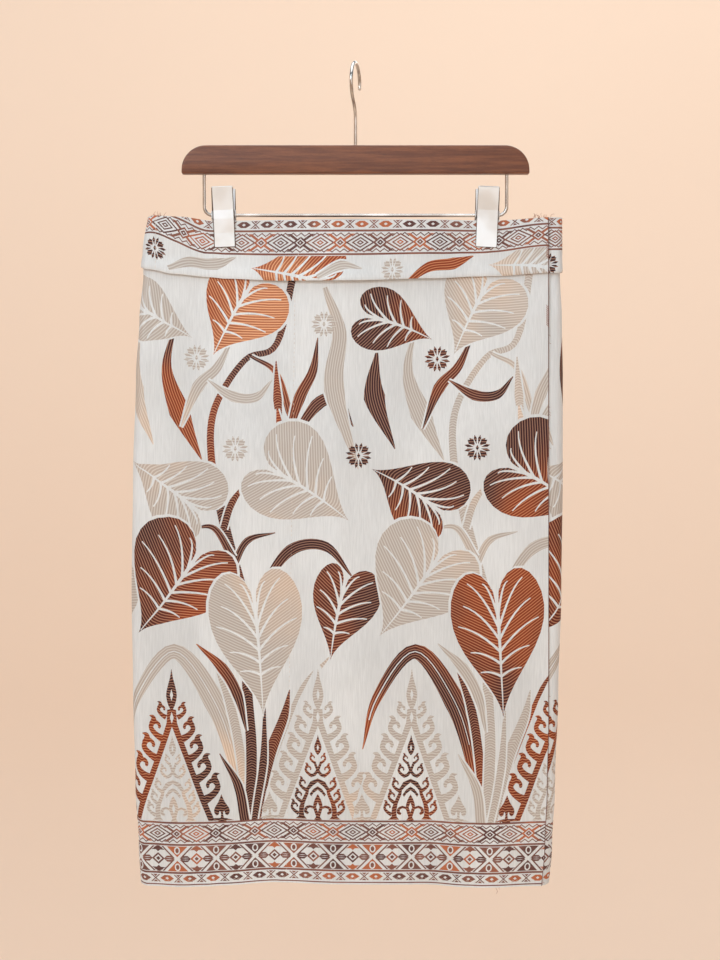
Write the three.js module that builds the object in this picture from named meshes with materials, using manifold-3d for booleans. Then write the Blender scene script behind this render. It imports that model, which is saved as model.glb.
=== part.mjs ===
// An instant samping, the ready-wrapped waist cloth of Malay dress, hung flat from a wooden clip hanger.
// Millimetres, +Z up, +X to the right of the front, +Y towards the back.
// The origin is the underside of the hook's crown, where a rail carries the hanger.
//
// The cloth is one length that goes once round as a flattened tube and then laps over its own start:
// the under wrap starts at a stitch row inside the front, passes the right side fold to the back panel,
// and comes past the left side fold as the front panel, whose edge lies free near the right side.
// Below the waist every stretch carries a horizontal tuck, which hangs over it like a folded-down band.

import * as THREE from "three";
import { mergeVertices } from "three/addons/utils/BufferGeometryUtils.js";
import Module from "manifold-3d";

// ---- Driving dimensions ----

const CLOTH = {
  wall: 1.1, // thickness of one ply
  gap: 0.35, // clear space between two plies
  pinch: 1.275, // half the depth of the bare tube where a clip grips it
  pinchFade: 230, // height below the clips over which the tube opens to its full depth
  middleBelly: 7, // how far the waist stands open between the clips
  freeEdge: 197.5, // where the front panel's free edge hangs
  freeEdgeSwing: 6, // how far the free edge swings in at the hem
  stitchTop: -53, // where the stitch row that ends the under wrap meets the waist
  stitchHem: -70, // and where it meets the hem
  coverEnd: -121, // left of this the front panel has no under wrap behind it
  seam: 0.3, // space between two stretches
};
const PLY = CLOTH.wall + CLOTH.gap;

const HANGER = {
  width: 356,
  thickness: 14,
  top: -83.5,
  bottom: -112.7,
  cornerWidth: 25,
  edgeRound: 1.8,
  wireRadius: 1.75,
  hookRadius: 20.75, // from the hook's centre to the middle of its wire
  hookTurn: 12, // degrees from the plane across the hanger
  hookDrop: 9, // degrees that the hook's tip reaches below its centre
  neckBend: -58, // where the neck starts to lean forwards
  socketDepth: 14, // how deep a wire is set into the wood
  socketRoom: 0.3, // space round a wire in its socket
};

const RAIL = { halfWidth: 155, height: -154.8, bend: 9 };

const CLIP = {
  at: 135,
  tilt: 2.4, // degrees that each clip leans in at the bottom
  width: 22,
  above: 28.3, // the jaws' reach above the rail
  below: 33.3, // and below it
  plate: 1.2,
  padHeight: 15, // length of jaw that lies on the cloth
  rest: 0.3, // space between a jaw and the cloth
  knee: 5.4, // the least distance from the rail to a jaw, beside the rail
  flare: 13, // from the rail to a jaw, at the top
  earBack: 3.4,
  earBelow: 3.9,
  earAbove: 5,
  earHole: 2.5,
  springInner: 2.25,
  springOuter: 3.6,
  legRadius: 0.8,
};

// Horizontal sections of the tube: its side folds, the radius they turn with, and how far
// the middle of the front and of the back stand from the plane of the rail.
const SECTIONS = [
  { height: -150, left: -211.0, right: 210.5, round: 5.5, front: 9, back: 9 },
  { height: -190, left: -216.5, right: 210.5, round: 6.0, front: 9, back: 9 },
  { height: -215, left: -217.5, right: 209.5, round: 6.5, front: 9, back: 10 },
  { height: -260, left: -221.5, right: 211.5, round: 7.5, front: 10, back: 11 },
  { height: -320, left: -225.0, right: 212.5, round: 8.5, front: 12, back: 13 },
  { height: -420, left: -228.0, right: 212.5, round: 9.5, front: 15, back: 16 },
  { height: -540, left: -229.5, right: 211.0, round: 9.5, front: 18, back: 18 },
  { height: -640, left: -228.0, right: 208.0, round: 9.0, front: 20, back: 20 },
  { height: -740, left: -225.5, right: 204.5, round: 8.5, front: 21, back: 22 },
  { height: -800, left: -222.0, right: 201.5, round: 8.0, front: 21, back: 23 },
  { height: -850, left: -219.0, right: 197.5, round: 7.5, front: 21, back: 23 },
];

// Heights of the hem, of the tuck's lower edge and of the top, by wrap coordinate.
const RIM = [
  { wrap: 0.0, hem: -837.5, tuck: -213.5, top: -157.5 },
  { wrap: 1.0, hem: -840.5, tuck: -214.5, top: -157.5 },
  { wrap: 1.15, hem: -841.0, tuck: -217.5, top: -160.5 },
  { wrap: 1.19, hem: -840.5, tuck: -218.0, top: -160.5 },
  { wrap: 1.3, hem: -838.0, tuck: -220.0, top: -159.5 },
  { wrap: 1.5, hem: -836.5, tuck: -222.5, top: -160.0 },
  { wrap: 1.67, hem: -835.5, tuck: -222.5, top: -160.0 },
  { wrap: 1.81, hem: -839.0, tuck: -220.0, top: -160.5 },
  { wrap: 1.85, hem: -840.0, tuck: -218.5, top: -160.5 },
  { wrap: 1.94, hem: -841.0, tuck: -215.5, top: -156.5 },
  { wrap: 2.0, hem: -840.5, tuck: -211.0, top: -155.5 },
  { wrap: 3.0, hem: -838.0, tuck: -208.0, top: -157.5 },
  { wrap: 4.0, hem: -838.5, tuck: -211.0, top: -158.0 },
  { wrap: 4.15, hem: -839.0, tuck: -216.0, top: -160.5 },
  { wrap: 4.19, hem: -839.0, tuck: -217.0, top: -160.5 },
  { wrap: 4.5, hem: -837.0, tuck: -220.0, top: -157.5 },
  { wrap: 4.81, hem: -839.0, tuck: -217.0, top: -160.5 },
  { wrap: 4.85, hem: -839.0, tuck: -216.0, top: -160.5 },
  { wrap: 5.0, hem: -839.0, tuck: -213.5, top: -158.0 },
  { wrap: 6.0, hem: -837.5, tuck: -213.5, top: -157.5 },
];

// Long soft folds: where each crosses the section, its width and how far it stands out (or in)
// at the hem, and the height at which it has died away.
const FOLDS = [
  { side: "front", across: -172, width: 34, out: 5.0, fadesAt: -430 },
  { side: "front", across: -82, width: 30, out: -4.5, fadesAt: -330 },
  { side: "front", across: -6, width: 46, out: 3.0, fadesAt: -480 },
  { side: "front", across: 66, width: 36, out: -4.0, fadesAt: -360 },
  { side: "front", across: 138, width: 38, out: 4.5, fadesAt: -420 },
  { side: "back", across: -150, width: 40, out: 5.0, fadesAt: -400 },
  { side: "back", across: -60, width: 38, out: -4.5, fadesAt: -350 },
  { side: "back", across: 30, width: 44, out: 4.0, fadesAt: -460 },
  { side: "back", across: 118, width: 40, out: -3.5, fadesAt: -380 },
];

// The tuck's lower edge stands off the panel, by this much at each place across the front.
const TUCK_STANDS = [
  { across: -230, by: 0.4 },
  { across: -170, by: 1.2 },
  { across: -135, by: 0.5 },
  { across: -90, by: 1.6 },
  { across: -30, by: 3.4 },
  { across: 30, by: 2.6 },
  { across: 90, by: 1.4 },
  { across: 135, by: 0.5 },
  { across: 215, by: 0.5 },
];
const TUCK = { foldSwell: 0.9, swellAt: 0.06, swellReach: 0.14, edgeRound: 0.35, standPower: 3 };

// Columns of the flat part of a section, as shares of its half width: two bound each clip.
const COLUMN_SHARES = [0, 0.1, 0.2, 0.3, 0.4, 0.5, 0.594, 0.663, 0.732, 0.82, 0.91, 0.965];
const ARC_STEPS = 3;
// Rows run from the hem (0) by the tuck's lower edge (1) to the top (2).
const PANEL_ROWS = 16;
const WAIST_ROWS = [1, 1.26, 1.52, 1.76, 2];
const TUCK_ROWS = [1, 1.03, 1.1, 1.26, 1.52, 1.76, 2];

const COLOURS = {
  brocade: { color: 0xd9d0c6, roughness: 0.5, metalness: 0.1 },
  walnut: { color: 0x6b3d2a, roughness: 0.45, metalness: 0 },
  steel: { color: 0xc9c7c4, roughness: 0.28, metalness: 1 },
};

// ---- Small maths ----

const radians = (degrees) => (degrees * Math.PI) / 180;
const clamp01 = (t) => Math.min(1, Math.max(0, t));
const mix = (a, b, t) => a + (b - a) * t;

function smooth(from, to, value) {
  const t = clamp01((value - from) / (to - from));
  return t * t * (3 - 2 * t);
}

// A column of a table at a place between its rows, eased from row to row.
function lookUp(table, key, value, column) {
  const rising = table[0][key] < table[table.length - 1][key];
  const rows = rising ? table : [...table].reverse();
  const next = rows.findIndex((row) => row[key] >= value);
  if (next === 0) return rows[0][column];
  if (next < 0) return rows[rows.length - 1][column];
  const [a, b] = [rows[next - 1], rows[next]];
  return mix(a[column], b[column], smooth(a[key], b[key], value));
}

const section = (height, column) => lookUp(SECTIONS, "height", height, column);

// ---- The tube of cloth ----
// The wrap coordinate runs round a section: 0 is the right side fold, 0 to 1 its front quarter,
// 1 to 2 the front from right to left, 2 to 4 the left side fold, 4 to 5 the back, 5 to 6 the
// right fold's back quarter. All plies are made from the tube's outer face, moved out or in.

function sectionFrame(height) {
  const left = section(height, "left");
  const right = section(height, "right");
  const round = section(height, "round");
  return { middle: (left + right) / 2, flat: (right - left) / 2 - round, round };
}

// How far the cloth stands from the plane of the rail, on one side of a section.
function standOff(side, share, x, height, round) {
  const open = round + (section(height, side) - round) * (1 - share * share) ** 1.5;
  const jawEdge = CLIP.at + CLIP.width / 2 + 3;
  const across = Math.abs(x);
  let gripped = CLOTH.pinch;
  if (across < CLIP.at) {
    gripped += CLOTH.middleBelly * smooth(2 * CLIP.at - jawEdge, 0, across);
  } else {
    gripped += (round - CLOTH.pinch) * smooth(jawEdge, CLIP.at + 68, across);
  }
  const clipFoot = RAIL.height - CLIP.below;
  const opened = smooth(clipFoot, clipFoot - CLOTH.pinchFade, height);
  const hemHeight = SECTIONS[SECTIONS.length - 1].height;
  const folds = FOLDS.filter((fold) => fold.side === side).reduce((sum, fold) => {
    const away = (x - fold.across) / fold.width;
    return sum + fold.out * Math.exp(-away * away) * smooth(fold.fadesAt, hemHeight, height);
  }, 0);
  const edgeFree = smooth(1, 0.8, Math.abs(share));
  return mix(gripped, open, opened) + folds * edgeFree;
}

function tubePoint(wrap, height) {
  const turn = (wrap + 6) % 6;
  const { middle, flat, round } = sectionFrame(height);
  if (turn >= 1 && turn <= 2) {
    const share = 1 - 2 * (turn - 1);
    const x = middle + flat * share;
    return [x, -standOff("front", share, x, height, round)];
  }
  if (turn >= 4 && turn <= 5) {
    const share = 2 * (turn - 4) - 1;
    const x = middle + flat * share;
    return [x, standOff("back", share, x, height, round)];
  }
  const quarters = turn < 1 ? turn : turn < 4 ? turn - 1 : turn - 2;
  const angle = (quarters * Math.PI) / 2;
  const centre = turn > 2 && turn < 4 ? middle - flat : middle + flat;
  return [centre + round * Math.cos(angle), -round * Math.sin(angle)];
}

function tubeNormal(wrap, height) {
  const step = 0.004;
  const [ax, ay] = tubePoint(wrap - step, height);
  const [bx, by] = tubePoint(wrap + step, height);
  const length = Math.hypot(bx - ax, by - ay);
  return [-(by - ay) / length, (bx - ax) / length];
}

// The height of a row, from the hem (0) by the tuck's edge (1) to the top (2).
function rowHeight(wrap, row) {
  const at = (column) => lookUp(RIM, "wrap", (wrap + 6) % 6, column);
  return row <= 1 ? mix(at("hem"), at("tuck"), row) : mix(at("tuck"), at("top"), row - 1);
}

function clothPoint(wrap, row, out) {
  const height = rowHeight(wrap, row);
  const [x, y] = tubePoint(wrap, height);
  const [nx, ny] = tubeNormal(wrap, height);
  return [x + nx * out, y + ny * out, height];
}

// The wrap coordinate at which the front of a row crosses a given place.
function wrapAt(x, row) {
  let wrap = 1.5;
  for (let pass = 0; pass < 4; pass += 1) {
    const { middle, flat } = sectionFrame(rowHeight(wrap, row));
    wrap = 1 + (1 - (x - middle) / flat) / 2;
  }
  return wrap;
}

const stitchRow = (row) => wrapAt(mix(CLOTH.stitchHem, CLOTH.stitchTop, row / 2), row);
const freeEdge = (row) => wrapAt(CLOTH.freeEdge - CLOTH.freeEdgeSwing * smooth(0.09, 0, row), row);

const onTube = () => 0;

// How far the front panel lies outside the tube: one ply over the under wrap, two at the waist.
function frontCover(wrap, row) {
  if (wrap >= 2) return 0;
  const [x] = tubePoint(wrap, rowHeight(wrap, row));
  const covered = smooth(CLOTH.coverEnd, CLOTH.stitchHem, x);
  return PLY * covered * (1 + smooth(0.84, 0.96, row));
}

// Columns of a stretch, each a function from row to wrap coordinate.
function columnsBetween(first, last) {
  const [low, high] = [first, last].map((end) => end(0));
  const shares = [...COLUMN_SHARES.slice(1).map((s) => -s).reverse(), ...COLUMN_SHARES];
  const stops = [];
  for (const start of [0, 2, 3, 5, 6]) {
    for (let i = 0; i <= ARC_STEPS; i += 1) stops.push(start + i / ARC_STEPS);
  }
  for (const start of [1, 4]) stops.push(...shares.map((share) => start + (1 + share) / 2));
  const margin = 0.02;
  const inside = [...new Set(stops)]
    .sort((a, b) => a - b)
    .filter((stop) => stop > low + margin && stop < high - margin);
  return [first, ...inside.map((stop) => () => stop), last];
}

// A closed wall between two grids of points, both listed by column and row.
function wallGeometry(outer, inner) {
  const columns = outer.length;
  const rows = outer[0].length;
  const positions = [...outer, ...inner].flat(2);
  const at = (layer, i, j) => (layer * columns + i) * rows + j;
  const index = [];
  const quad = (a, b, c, d) => index.push(a, b, c, a, c, d);
  for (let i = 0; i + 1 < columns; i += 1) {
    for (let j = 0; j + 1 < rows; j += 1) {
      quad(at(0, i, j), at(0, i, j + 1), at(0, i + 1, j + 1), at(0, i + 1, j));
      quad(at(1, i, j), at(1, i + 1, j), at(1, i + 1, j + 1), at(1, i, j + 1));
    }
    quad(at(0, i, 0), at(0, i + 1, 0), at(1, i + 1, 0), at(1, i, 0));
    quad(at(0, i, rows - 1), at(1, i, rows - 1), at(1, i + 1, rows - 1), at(0, i + 1, rows - 1));
  }
  for (let j = 0; j + 1 < rows; j += 1) {
    quad(at(0, 0, j), at(1, 0, j), at(1, 0, j + 1), at(0, 0, j + 1));
    quad(at(0, columns - 1, j), at(0, columns - 1, j + 1), at(1, columns - 1, j + 1), at(1, columns - 1, j));
  }
  const geometry = new THREE.BufferGeometry();
  geometry.setAttribute("position", new THREE.Float32BufferAttribute(positions, 3));
  geometry.setIndex(index);
  return geometry;
}

// A ply of cloth over some columns and rows, with its outer face moved out from the tube.
function ply(columns, rows, outOf, wallOf = () => CLOTH.wall) {
  const face = (depth) =>
    columns.map((wrapOf) =>
      rows.map((row) => {
        const wrap = wrapOf(row);
        return clothPoint(wrap, row, outOf(wrap, row) - depth * wallOf(row));
      }),
    );
  return wallGeometry(face(0), face(1));
}

const panelRows = [
  ...Array.from({ length: PANEL_ROWS }, (_, i) => i / PANEL_ROWS),
  ...WAIST_ROWS,
];

// A stretch's end beside a wrap coordinate, half a seam's space before it (-1) or after it (1),
// on a flat run or on the arc of a side fold.
function seamAt(wrap, step, run) {
  return (row) => {
    const { flat, round } = sectionFrame(rowHeight(wrap, row));
    const length = run === "flat" ? 2 * flat : (round * Math.PI) / 2;
    return wrap + (step * CLOTH.seam) / 2 / length;
  };
}

const STRETCHES = {
  front: columnsBetween(freeEdge, seamAt(2, -1, "flat")),
  leftSide: columnsBetween(seamAt(2, 1, "arc"), seamAt(4, -1, "arc")),
  back: columnsBetween(seamAt(4, 1, "flat"), seamAt(5, -1, "flat")),
  rightSide: columnsBetween(seamAt(5, 1, "arc"), seamAt(7, -1, "arc")),
  under: columnsBetween(seamAt(1, 1, "flat"), stitchRow),
};

// The tuck is parted at the middle of each side fold instead, away from the panels' seams.
const TUCK_STRETCHES = {
  front: columnsBetween(freeEdge, seamAt(3, -1, "arc")),
  back: columnsBetween(seamAt(3, 1, "arc"), seamAt(6, -1, "arc")),
  under: columnsBetween(seamAt(0, 1, "arc"), stitchRow),
};

// ---- The tuck below the waist: its turned plies share one wall, thickest at the fold ----

function tuckSwell(row) {
  const away = (row - 1 - TUCK.swellAt) / TUCK.swellReach;
  const swell = TUCK.foldSwell * Math.exp(-away * away);
  return row === 1 ? swell - TUCK.edgeRound : swell;
}

function tuckStand(wrap, row) {
  const [x] = tubePoint(wrap, rowHeight(wrap, row));
  return lookUp(TUCK_STANDS, "across", x, "by") * (2 - row) ** TUCK.standPower;
}

const tuckWall = (row) => CLOTH.wall + tuckSwell(row) - (row === 1 ? TUCK.edgeRound : 0);

function tuck(columns, cover) {
  const outOf = (wrap, row) => cover(wrap, row) + PLY + tuckStand(wrap, row) + tuckSwell(row);
  return ply(columns, TUCK_ROWS, outOf, tuckWall);
}

// ---- Solids and joins ----

const wasm = await Module();
wasm.setup();

function solidOf(geometry) {
  const bare = geometry.index ? geometry.toNonIndexed() : geometry.clone();
  bare.deleteAttribute("normal");
  bare.deleteAttribute("uv");
  const merged = mergeVertices(bare, 1e-4);
  return new wasm.Manifold(
    new wasm.Mesh({
      numProp: 3,
      vertProperties: merged.attributes.position.array,
      triVerts: new Uint32Array(merged.index.array),
    }),
  );
}

function geometryOf(solid) {
  const mesh = solid.getMesh();
  const geometry = new THREE.BufferGeometry();
  geometry.setAttribute("position", new THREE.BufferAttribute(mesh.vertProperties, 3));
  geometry.setIndex(new THREE.BufferAttribute(mesh.triVerts, 1));
  return geometry;
}

// A round rod with flat ends through a list of points.
function rodGeometry(points, radius, sides) {
  const path = points.map((p) => new THREE.Vector3(...p));
  const rings = [];
  const heading = (i) => {
    const before = path[Math.max(i - 1, 0)];
    const after = path[Math.min(i + 1, path.length - 1)];
    return after.clone().sub(before).normalize();
  };
  let side = new THREE.Vector3(1, 0, 0);
  if (Math.abs(heading(0).dot(side)) > 0.9) side = new THREE.Vector3(0, 1, 0);
  path.forEach((point, i) => {
    const along = heading(i);
    side = side.clone().addScaledVector(along, -side.dot(along)).normalize();
    const up = along.clone().cross(side);
    rings.push(
      Array.from({ length: sides }, (_, k) => {
        const angle = (2 * Math.PI * k) / sides;
        return point
          .clone()
          .addScaledVector(side, radius * Math.cos(angle))
          .addScaledVector(up, radius * Math.sin(angle));
      }),
    );
  });
  const positions = [...rings.flat(), path[0], path[path.length - 1]].flatMap((v) => [v.x, v.y, v.z]);
  const index = [];
  const last = rings.length - 1;
  const [startCap, endCap] = [rings.length * sides, rings.length * sides + 1];
  for (let k = 0; k < sides; k += 1) {
    const next = (k + 1) % sides;
    for (let i = 0; i < last; i += 1) {
      const [a, b] = [i * sides + k, i * sides + next];
      index.push(a, b, b + sides, a, b + sides, a + sides);
    }
    index.push(startCap, next, k, endCap, last * sides + k, last * sides + next);
  }
  const geometry = new THREE.BufferGeometry();
  geometry.setAttribute("position", new THREE.Float32BufferAttribute(positions, 3));
  geometry.setIndex(index);
  return geometry;
}

function upright(x, y, from, to, radius, sides = 16) {
  return solidOf(rodGeometry([[x, y, from], [x, y, to]], radius, sides));
}

function crosswise(from, to, radius, sides = 16) {
  return solidOf(rodGeometry([[from, 0, 0], [to, 0, 0]], radius, sides));
}

// ---- The hanger ----

function hangerBar() {
  const { width, top, bottom, cornerWidth, thickness, edgeRound } = HANGER;
  const half = width / 2 - edgeRound;
  const [low, high] = [bottom + edgeRound, top - edgeRound];
  const shape = new THREE.Shape();
  shape.moveTo(-half, low);
  shape.lineTo(half, low);
  shape.absellipse(half - cornerWidth, low, cornerWidth, high - low, 0, Math.PI / 2, false);
  shape.absellipse(cornerWidth - half, low, cornerWidth, high - low, Math.PI / 2, Math.PI, false);
  const blank = new THREE.ExtrudeGeometry(shape, {
    depth: thickness - 2 * edgeRound,
    bevelThickness: edgeRound,
    bevelSize: edgeRound,
    bevelSegments: 2,
    curveSegments: 8,
  });
  blank.translate(0, 0, edgeRound - thickness / 2);
  blank.rotateX(Math.PI / 2);
  const hole = HANGER.wireRadius + HANGER.socketRoom;
  const over = 1;
  const deep = HANGER.socketDepth + HANGER.socketRoom;
  const sockets = [-RAIL.halfWidth, RAIL.halfWidth].map((x) =>
    upright(x, 0, bottom - over, bottom + deep, hole),
  );
  const hookSocket = upright(0, 0, top - deep, top + over, hole);
  return geometryOf(sockets.reduce((wood, s) => wood.subtract(s), solidOf(blank).subtract(hookSocket)));
}

function hangerHook() {
  const { hookRadius, hookTurn, hookDrop, neckBend, top, socketDepth, wireRadius } = HANGER;
  const centre = wireRadius - hookRadius;
  const neckSteps = 7;
  const lean = new THREE.CubicBezierCurve(
    new THREE.Vector2(0, neckBend),
    new THREE.Vector2(0, neckBend + 15),
    new THREE.Vector2(-hookRadius, centre - 17),
    new THREE.Vector2(-hookRadius, centre),
  );
  const crownSteps = 18;
  const crown = Array.from({ length: crownSteps }, (_, i) => {
    const angle = radians(((180 + hookDrop) * (i + 1)) / crownSteps);
    return new THREE.Vector2(-hookRadius * Math.cos(angle), centre + hookRadius * Math.sin(angle));
  });
  const flat = [new THREE.Vector2(0, top - socketDepth), ...lean.getPoints(neckSteps), ...crown];
  const [sine, cosine] = [Math.sin(radians(hookTurn)), Math.cos(radians(hookTurn))];
  return rodGeometry(flat.map((p) => [p.x * sine, p.x * cosine, p.y]), wireRadius, 10);
}

function clipRail() {
  const { halfWidth, height, bend } = RAIL;
  const foot = HANGER.bottom + HANGER.socketDepth;
  const bendSteps = 4;
  const corner = Array.from({ length: bendSteps + 1 }, (_, i) => {
    const angle = (Math.PI / 2) * (i / bendSteps);
    return [halfWidth - bend + bend * Math.cos(angle), 0, height + bend - bend * Math.sin(angle)];
  });
  const right = [[halfWidth, 0, foot], ...corner];
  const left = right.map(([x, y, z]) => [-x, y, z]).reverse();
  return rodGeometry([...right, ...left], HANGER.wireRadius, 10);
}

// ---- The clips: two jaws hinged on the rail, with a spring between them ----

// One jaw seen along the rail, with grip its distance from the rail's plane where it holds the cloth.
function jawGeometry(grip, facing, earOut) {
  const { above, below, plate, padHeight, flare } = CLIP;
  const knee = Math.max(CLIP.knee, grip);
  const inner = [
    [grip, -below],
    [grip, padHeight - below],
    [knee, -2],
    [knee, 6],
    [flare, above],
  ];
  const outer = inner.map(([y, z]) => [y + plate, z]).reverse();
  const outline = [...inner, ...outer].map(([y, z]) => new THREE.Vector2(y * facing, z));
  const halfWidth = earOut;
  const blade = new THREE.ExtrudeGeometry(new THREE.Shape(outline), {
    depth: 2 * halfWidth,
    bevelEnabled: false,
  });
  // The outline's first axis becomes Y, its second Z, and the extrusion runs along X.
  blade.applyMatrix4(new THREE.Matrix4().set(0, 0, 1, -halfWidth, 1, 0, 0, 0, 0, 1, 0, 0, 0, 0, 0, 1));
  let jaw = solidOf(blade);
  const reach = knee + plate / 2 + CLIP.earBack;
  for (const hand of [-1, 1]) {
    const ear = new THREE.BoxGeometry(plate, reach, CLIP.earAbove + CLIP.earBelow);
    ear.translate(
      hand * (halfWidth - plate / 2),
      facing * (knee + plate / 2 - reach / 2),
      (CLIP.earAbove - CLIP.earBelow) / 2,
    );
    jaw = jaw.add(solidOf(ear));
  }
  return geometryOf(jaw.subtract(crosswise(-2 * halfWidth, 2 * halfWidth, CLIP.earHole)));
}

function springGeometry() {
  const { width, plate, springInner, springOuter, legRadius, above, knee, flare } = CLIP;
  const half = width / 2 - plate - 0.4;
  let spring = crosswise(-half, half, springOuter).subtract(crosswise(-width, width, springInner));
  const share = 0.7;
  const legEnd = mix(6, above, share);
  for (const facing of [-1, 1]) {
    const x = facing * (half - legRadius);
    const away = facing * (mix(knee, flare, share) - legRadius - CLIP.rest);
    const coilSide = (springInner + springOuter) / 2;
    const leg = rodGeometry([[x, facing * coilSide, 0], [x, facing * coilSide, 3], [x, away, legEnd]], legRadius, 8);
    spring = spring.add(solidOf(leg));
  }
  return geometryOf(spring.subtract(crosswise(-width, width, springInner)));
}

// The plies that a clip grips in front of the rail's plane, from the tube's bare face outwards.
function clipGroup(name, hand) {
  const group = new THREE.Group();
  const coverPlies = hand > 0 ? 2 : 0;
  const front = CLOTH.pinch + PLY * (1 + coverPlies) + CLIP.rest;
  const back = CLOTH.pinch + PLY + CLIP.rest;
  const frontEars = CLIP.width / 2;
  const backEars = frontEars + CLIP.plate + 0.3;
  group.add(
    named(`${name}_clip_front_jaw`, jawGeometry(front, -1, frontEars), COLOURS.steel),
    named(`${name}_clip_back_jaw`, jawGeometry(back, 1, backEars), COLOURS.steel),
    named(`${name}_clip_spring`, springGeometry(), COLOURS.steel),
  );
  group.position.set(hand * CLIP.at, 0, RAIL.height);
  group.rotation.y = radians(CLIP.tilt) * hand;
  return group;
}

// ---- The object ----

function named(name, geometry, finish) {
  const mesh = new THREE.Mesh(geometry, new THREE.MeshStandardMaterial(finish));
  mesh.name = name;
  return mesh;
}

const samping = new THREE.Group();
samping.add(
  named("front_panel", ply(STRETCHES.front, panelRows, frontCover), COLOURS.brocade),
  named("left_side", ply(STRETCHES.leftSide, panelRows, onTube), COLOURS.brocade),
  named("back_panel", ply(STRETCHES.back, panelRows, onTube), COLOURS.brocade),
  named("right_side", ply(STRETCHES.rightSide, panelRows, onTube), COLOURS.brocade),
  named("under_wrap", ply(STRETCHES.under, panelRows, onTube), COLOURS.brocade),
  named("waist_tuck_front", tuck(TUCK_STRETCHES.front, frontCover), COLOURS.brocade),
  named("waist_tuck_back", tuck(TUCK_STRETCHES.back, onTube), COLOURS.brocade),
  named("waist_tuck_under", ply(TUCK_STRETCHES.under, WAIST_ROWS, () => PLY), COLOURS.brocade),
);

const hanger = new THREE.Group();
hanger.add(
  named("hanger_bar", hangerBar(), COLOURS.walnut),
  named("hanger_hook", hangerHook(), COLOURS.steel),
  named("clip_rail", clipRail(), COLOURS.steel),
  clipGroup("left", -1),
  clipGroup("right", 1),
);

const root = new THREE.Group();
root.add(samping, hanger);
export default root;
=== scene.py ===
import math

import bmesh
import bpy
import numpy as np
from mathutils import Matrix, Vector
from mathutils.geometry import delaunay_2d_cdt


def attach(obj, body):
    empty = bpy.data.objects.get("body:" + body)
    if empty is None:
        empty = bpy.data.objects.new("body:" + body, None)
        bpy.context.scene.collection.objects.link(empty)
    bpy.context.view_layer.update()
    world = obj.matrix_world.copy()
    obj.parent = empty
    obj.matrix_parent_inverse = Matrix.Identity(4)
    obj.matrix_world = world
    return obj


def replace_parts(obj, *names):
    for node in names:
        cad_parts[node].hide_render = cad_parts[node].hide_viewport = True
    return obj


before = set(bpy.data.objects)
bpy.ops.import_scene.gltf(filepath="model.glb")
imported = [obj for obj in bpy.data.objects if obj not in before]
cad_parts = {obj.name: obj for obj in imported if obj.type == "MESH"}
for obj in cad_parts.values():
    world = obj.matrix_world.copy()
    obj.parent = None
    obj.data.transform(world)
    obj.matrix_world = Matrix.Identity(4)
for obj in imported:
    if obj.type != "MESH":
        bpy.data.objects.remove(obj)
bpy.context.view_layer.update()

# An instant samping hung flat from a wooden clip hanger. The frame is in metres, the tables below in
# millimetres: x to the right of the front, y towards the back, z up from the crown of the hook.

MM = 0.001
CLOTH = {"wall": 1.1, "ply": 1.45, "pinch": 1.275, "pinch_fade": 230, "middle_belly": 7}
PARTING = {"free_edge": 197.5, "free_swing": 6, "stitch_top": -53, "stitch_hem": -70, "cover_end": -121, "gap": 0.05}
RAIL = {"half": 155, "height": -154.8, "bend": 9}
# rim and rim_stop: width of each plate's ring of painted shade, and how far below the lever's end it stops
CLIP = {"at": 135, "tilt": 2.4, "width": 22, "above": 28.3, "below": 33.3, "plate": 1.2, "pad": 15, "rest": 0.3,
        "knee": 5.4, "flare": 13, "ear_back": 3.4, "ear_below": 3.9, "ear_above": 5, "ear_hole": 2.5, "corner": 1.6,
        "ear_corner": 2.4, "soft": 0.4, "rim": 0.5, "rim_stop": 1.5}
BAR = {"width": 356, "thick": 14, "top": -83.5, "bottom": -112.7, "corner": 25, "edge": 1.8, "set_in": 14}
HOOK = {"wire": 1.75, "crown": 20.75, "turn": 12, "drop": 9, "neck": -58, "rise": 39}
COIL = {"wire": 0.65, "turns": 9.5, "radius": 2.925, "slack": 0.4, "foot": 3, "leg": 18, "steps": 14}

# Horizontal sections of the wrapped tube.
SECTIONS = {
    "height": [-850, -800, -740, -640, -540, -420, -320, -260, -215, -190, -150],
    "left": [-219, -222, -225.5, -228, -229.5, -228, -225, -221.5, -217.5, -216.5, -211],
    "right": [197.5, 201.5, 204.5, 208, 211, 212.5, 212.5, 211.5, 209.5, 210.5, 210.5],
    "round": [7.5, 8, 8.5, 9, 9.5, 9.5, 8.5, 7.5, 6.5, 6, 5.5],
    "front": [21, 21, 21, 20, 18, 15, 12, 10, 9, 9, 9],
    "back": [23, 23, 22, 20, 18, 16, 13, 11, 10, 9, 9],
}

# Heights of the hem, of the tuck's lower edge and of the top, round the wrap.
RIM = {
    "wrap": [0, 1, 1.15, 1.19, 1.3, 1.5, 1.67, 1.81, 1.85, 1.94, 2, 3, 4, 4.15, 4.19, 4.5, 4.81, 4.85, 5, 6],
    "hem": [-837.5, -840.5, -841, -840.5, -838, -836.5, -835.5, -839, -840, -841, -840.5, -838, -838.5, -839, -839,
            -837, -839, -839, -839, -837.5],
    "tuck": [-213.5, -214.5, -217.5, -218, -220, -222.5, -222.5, -220, -218.5, -215.5, -211, -208, -211, -216, -217,
             -220, -217, -216, -213.5, -213.5],
    "top": [-157.5, -157.5, -160.5, -160.5, -159.5, -160, -160, -160.5, -160.5, -156.5, -155.5, -157.5, -158, -160.5,
            -160.5, -157.5, -160.5, -160.5, -158, -157.5],
}

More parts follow.
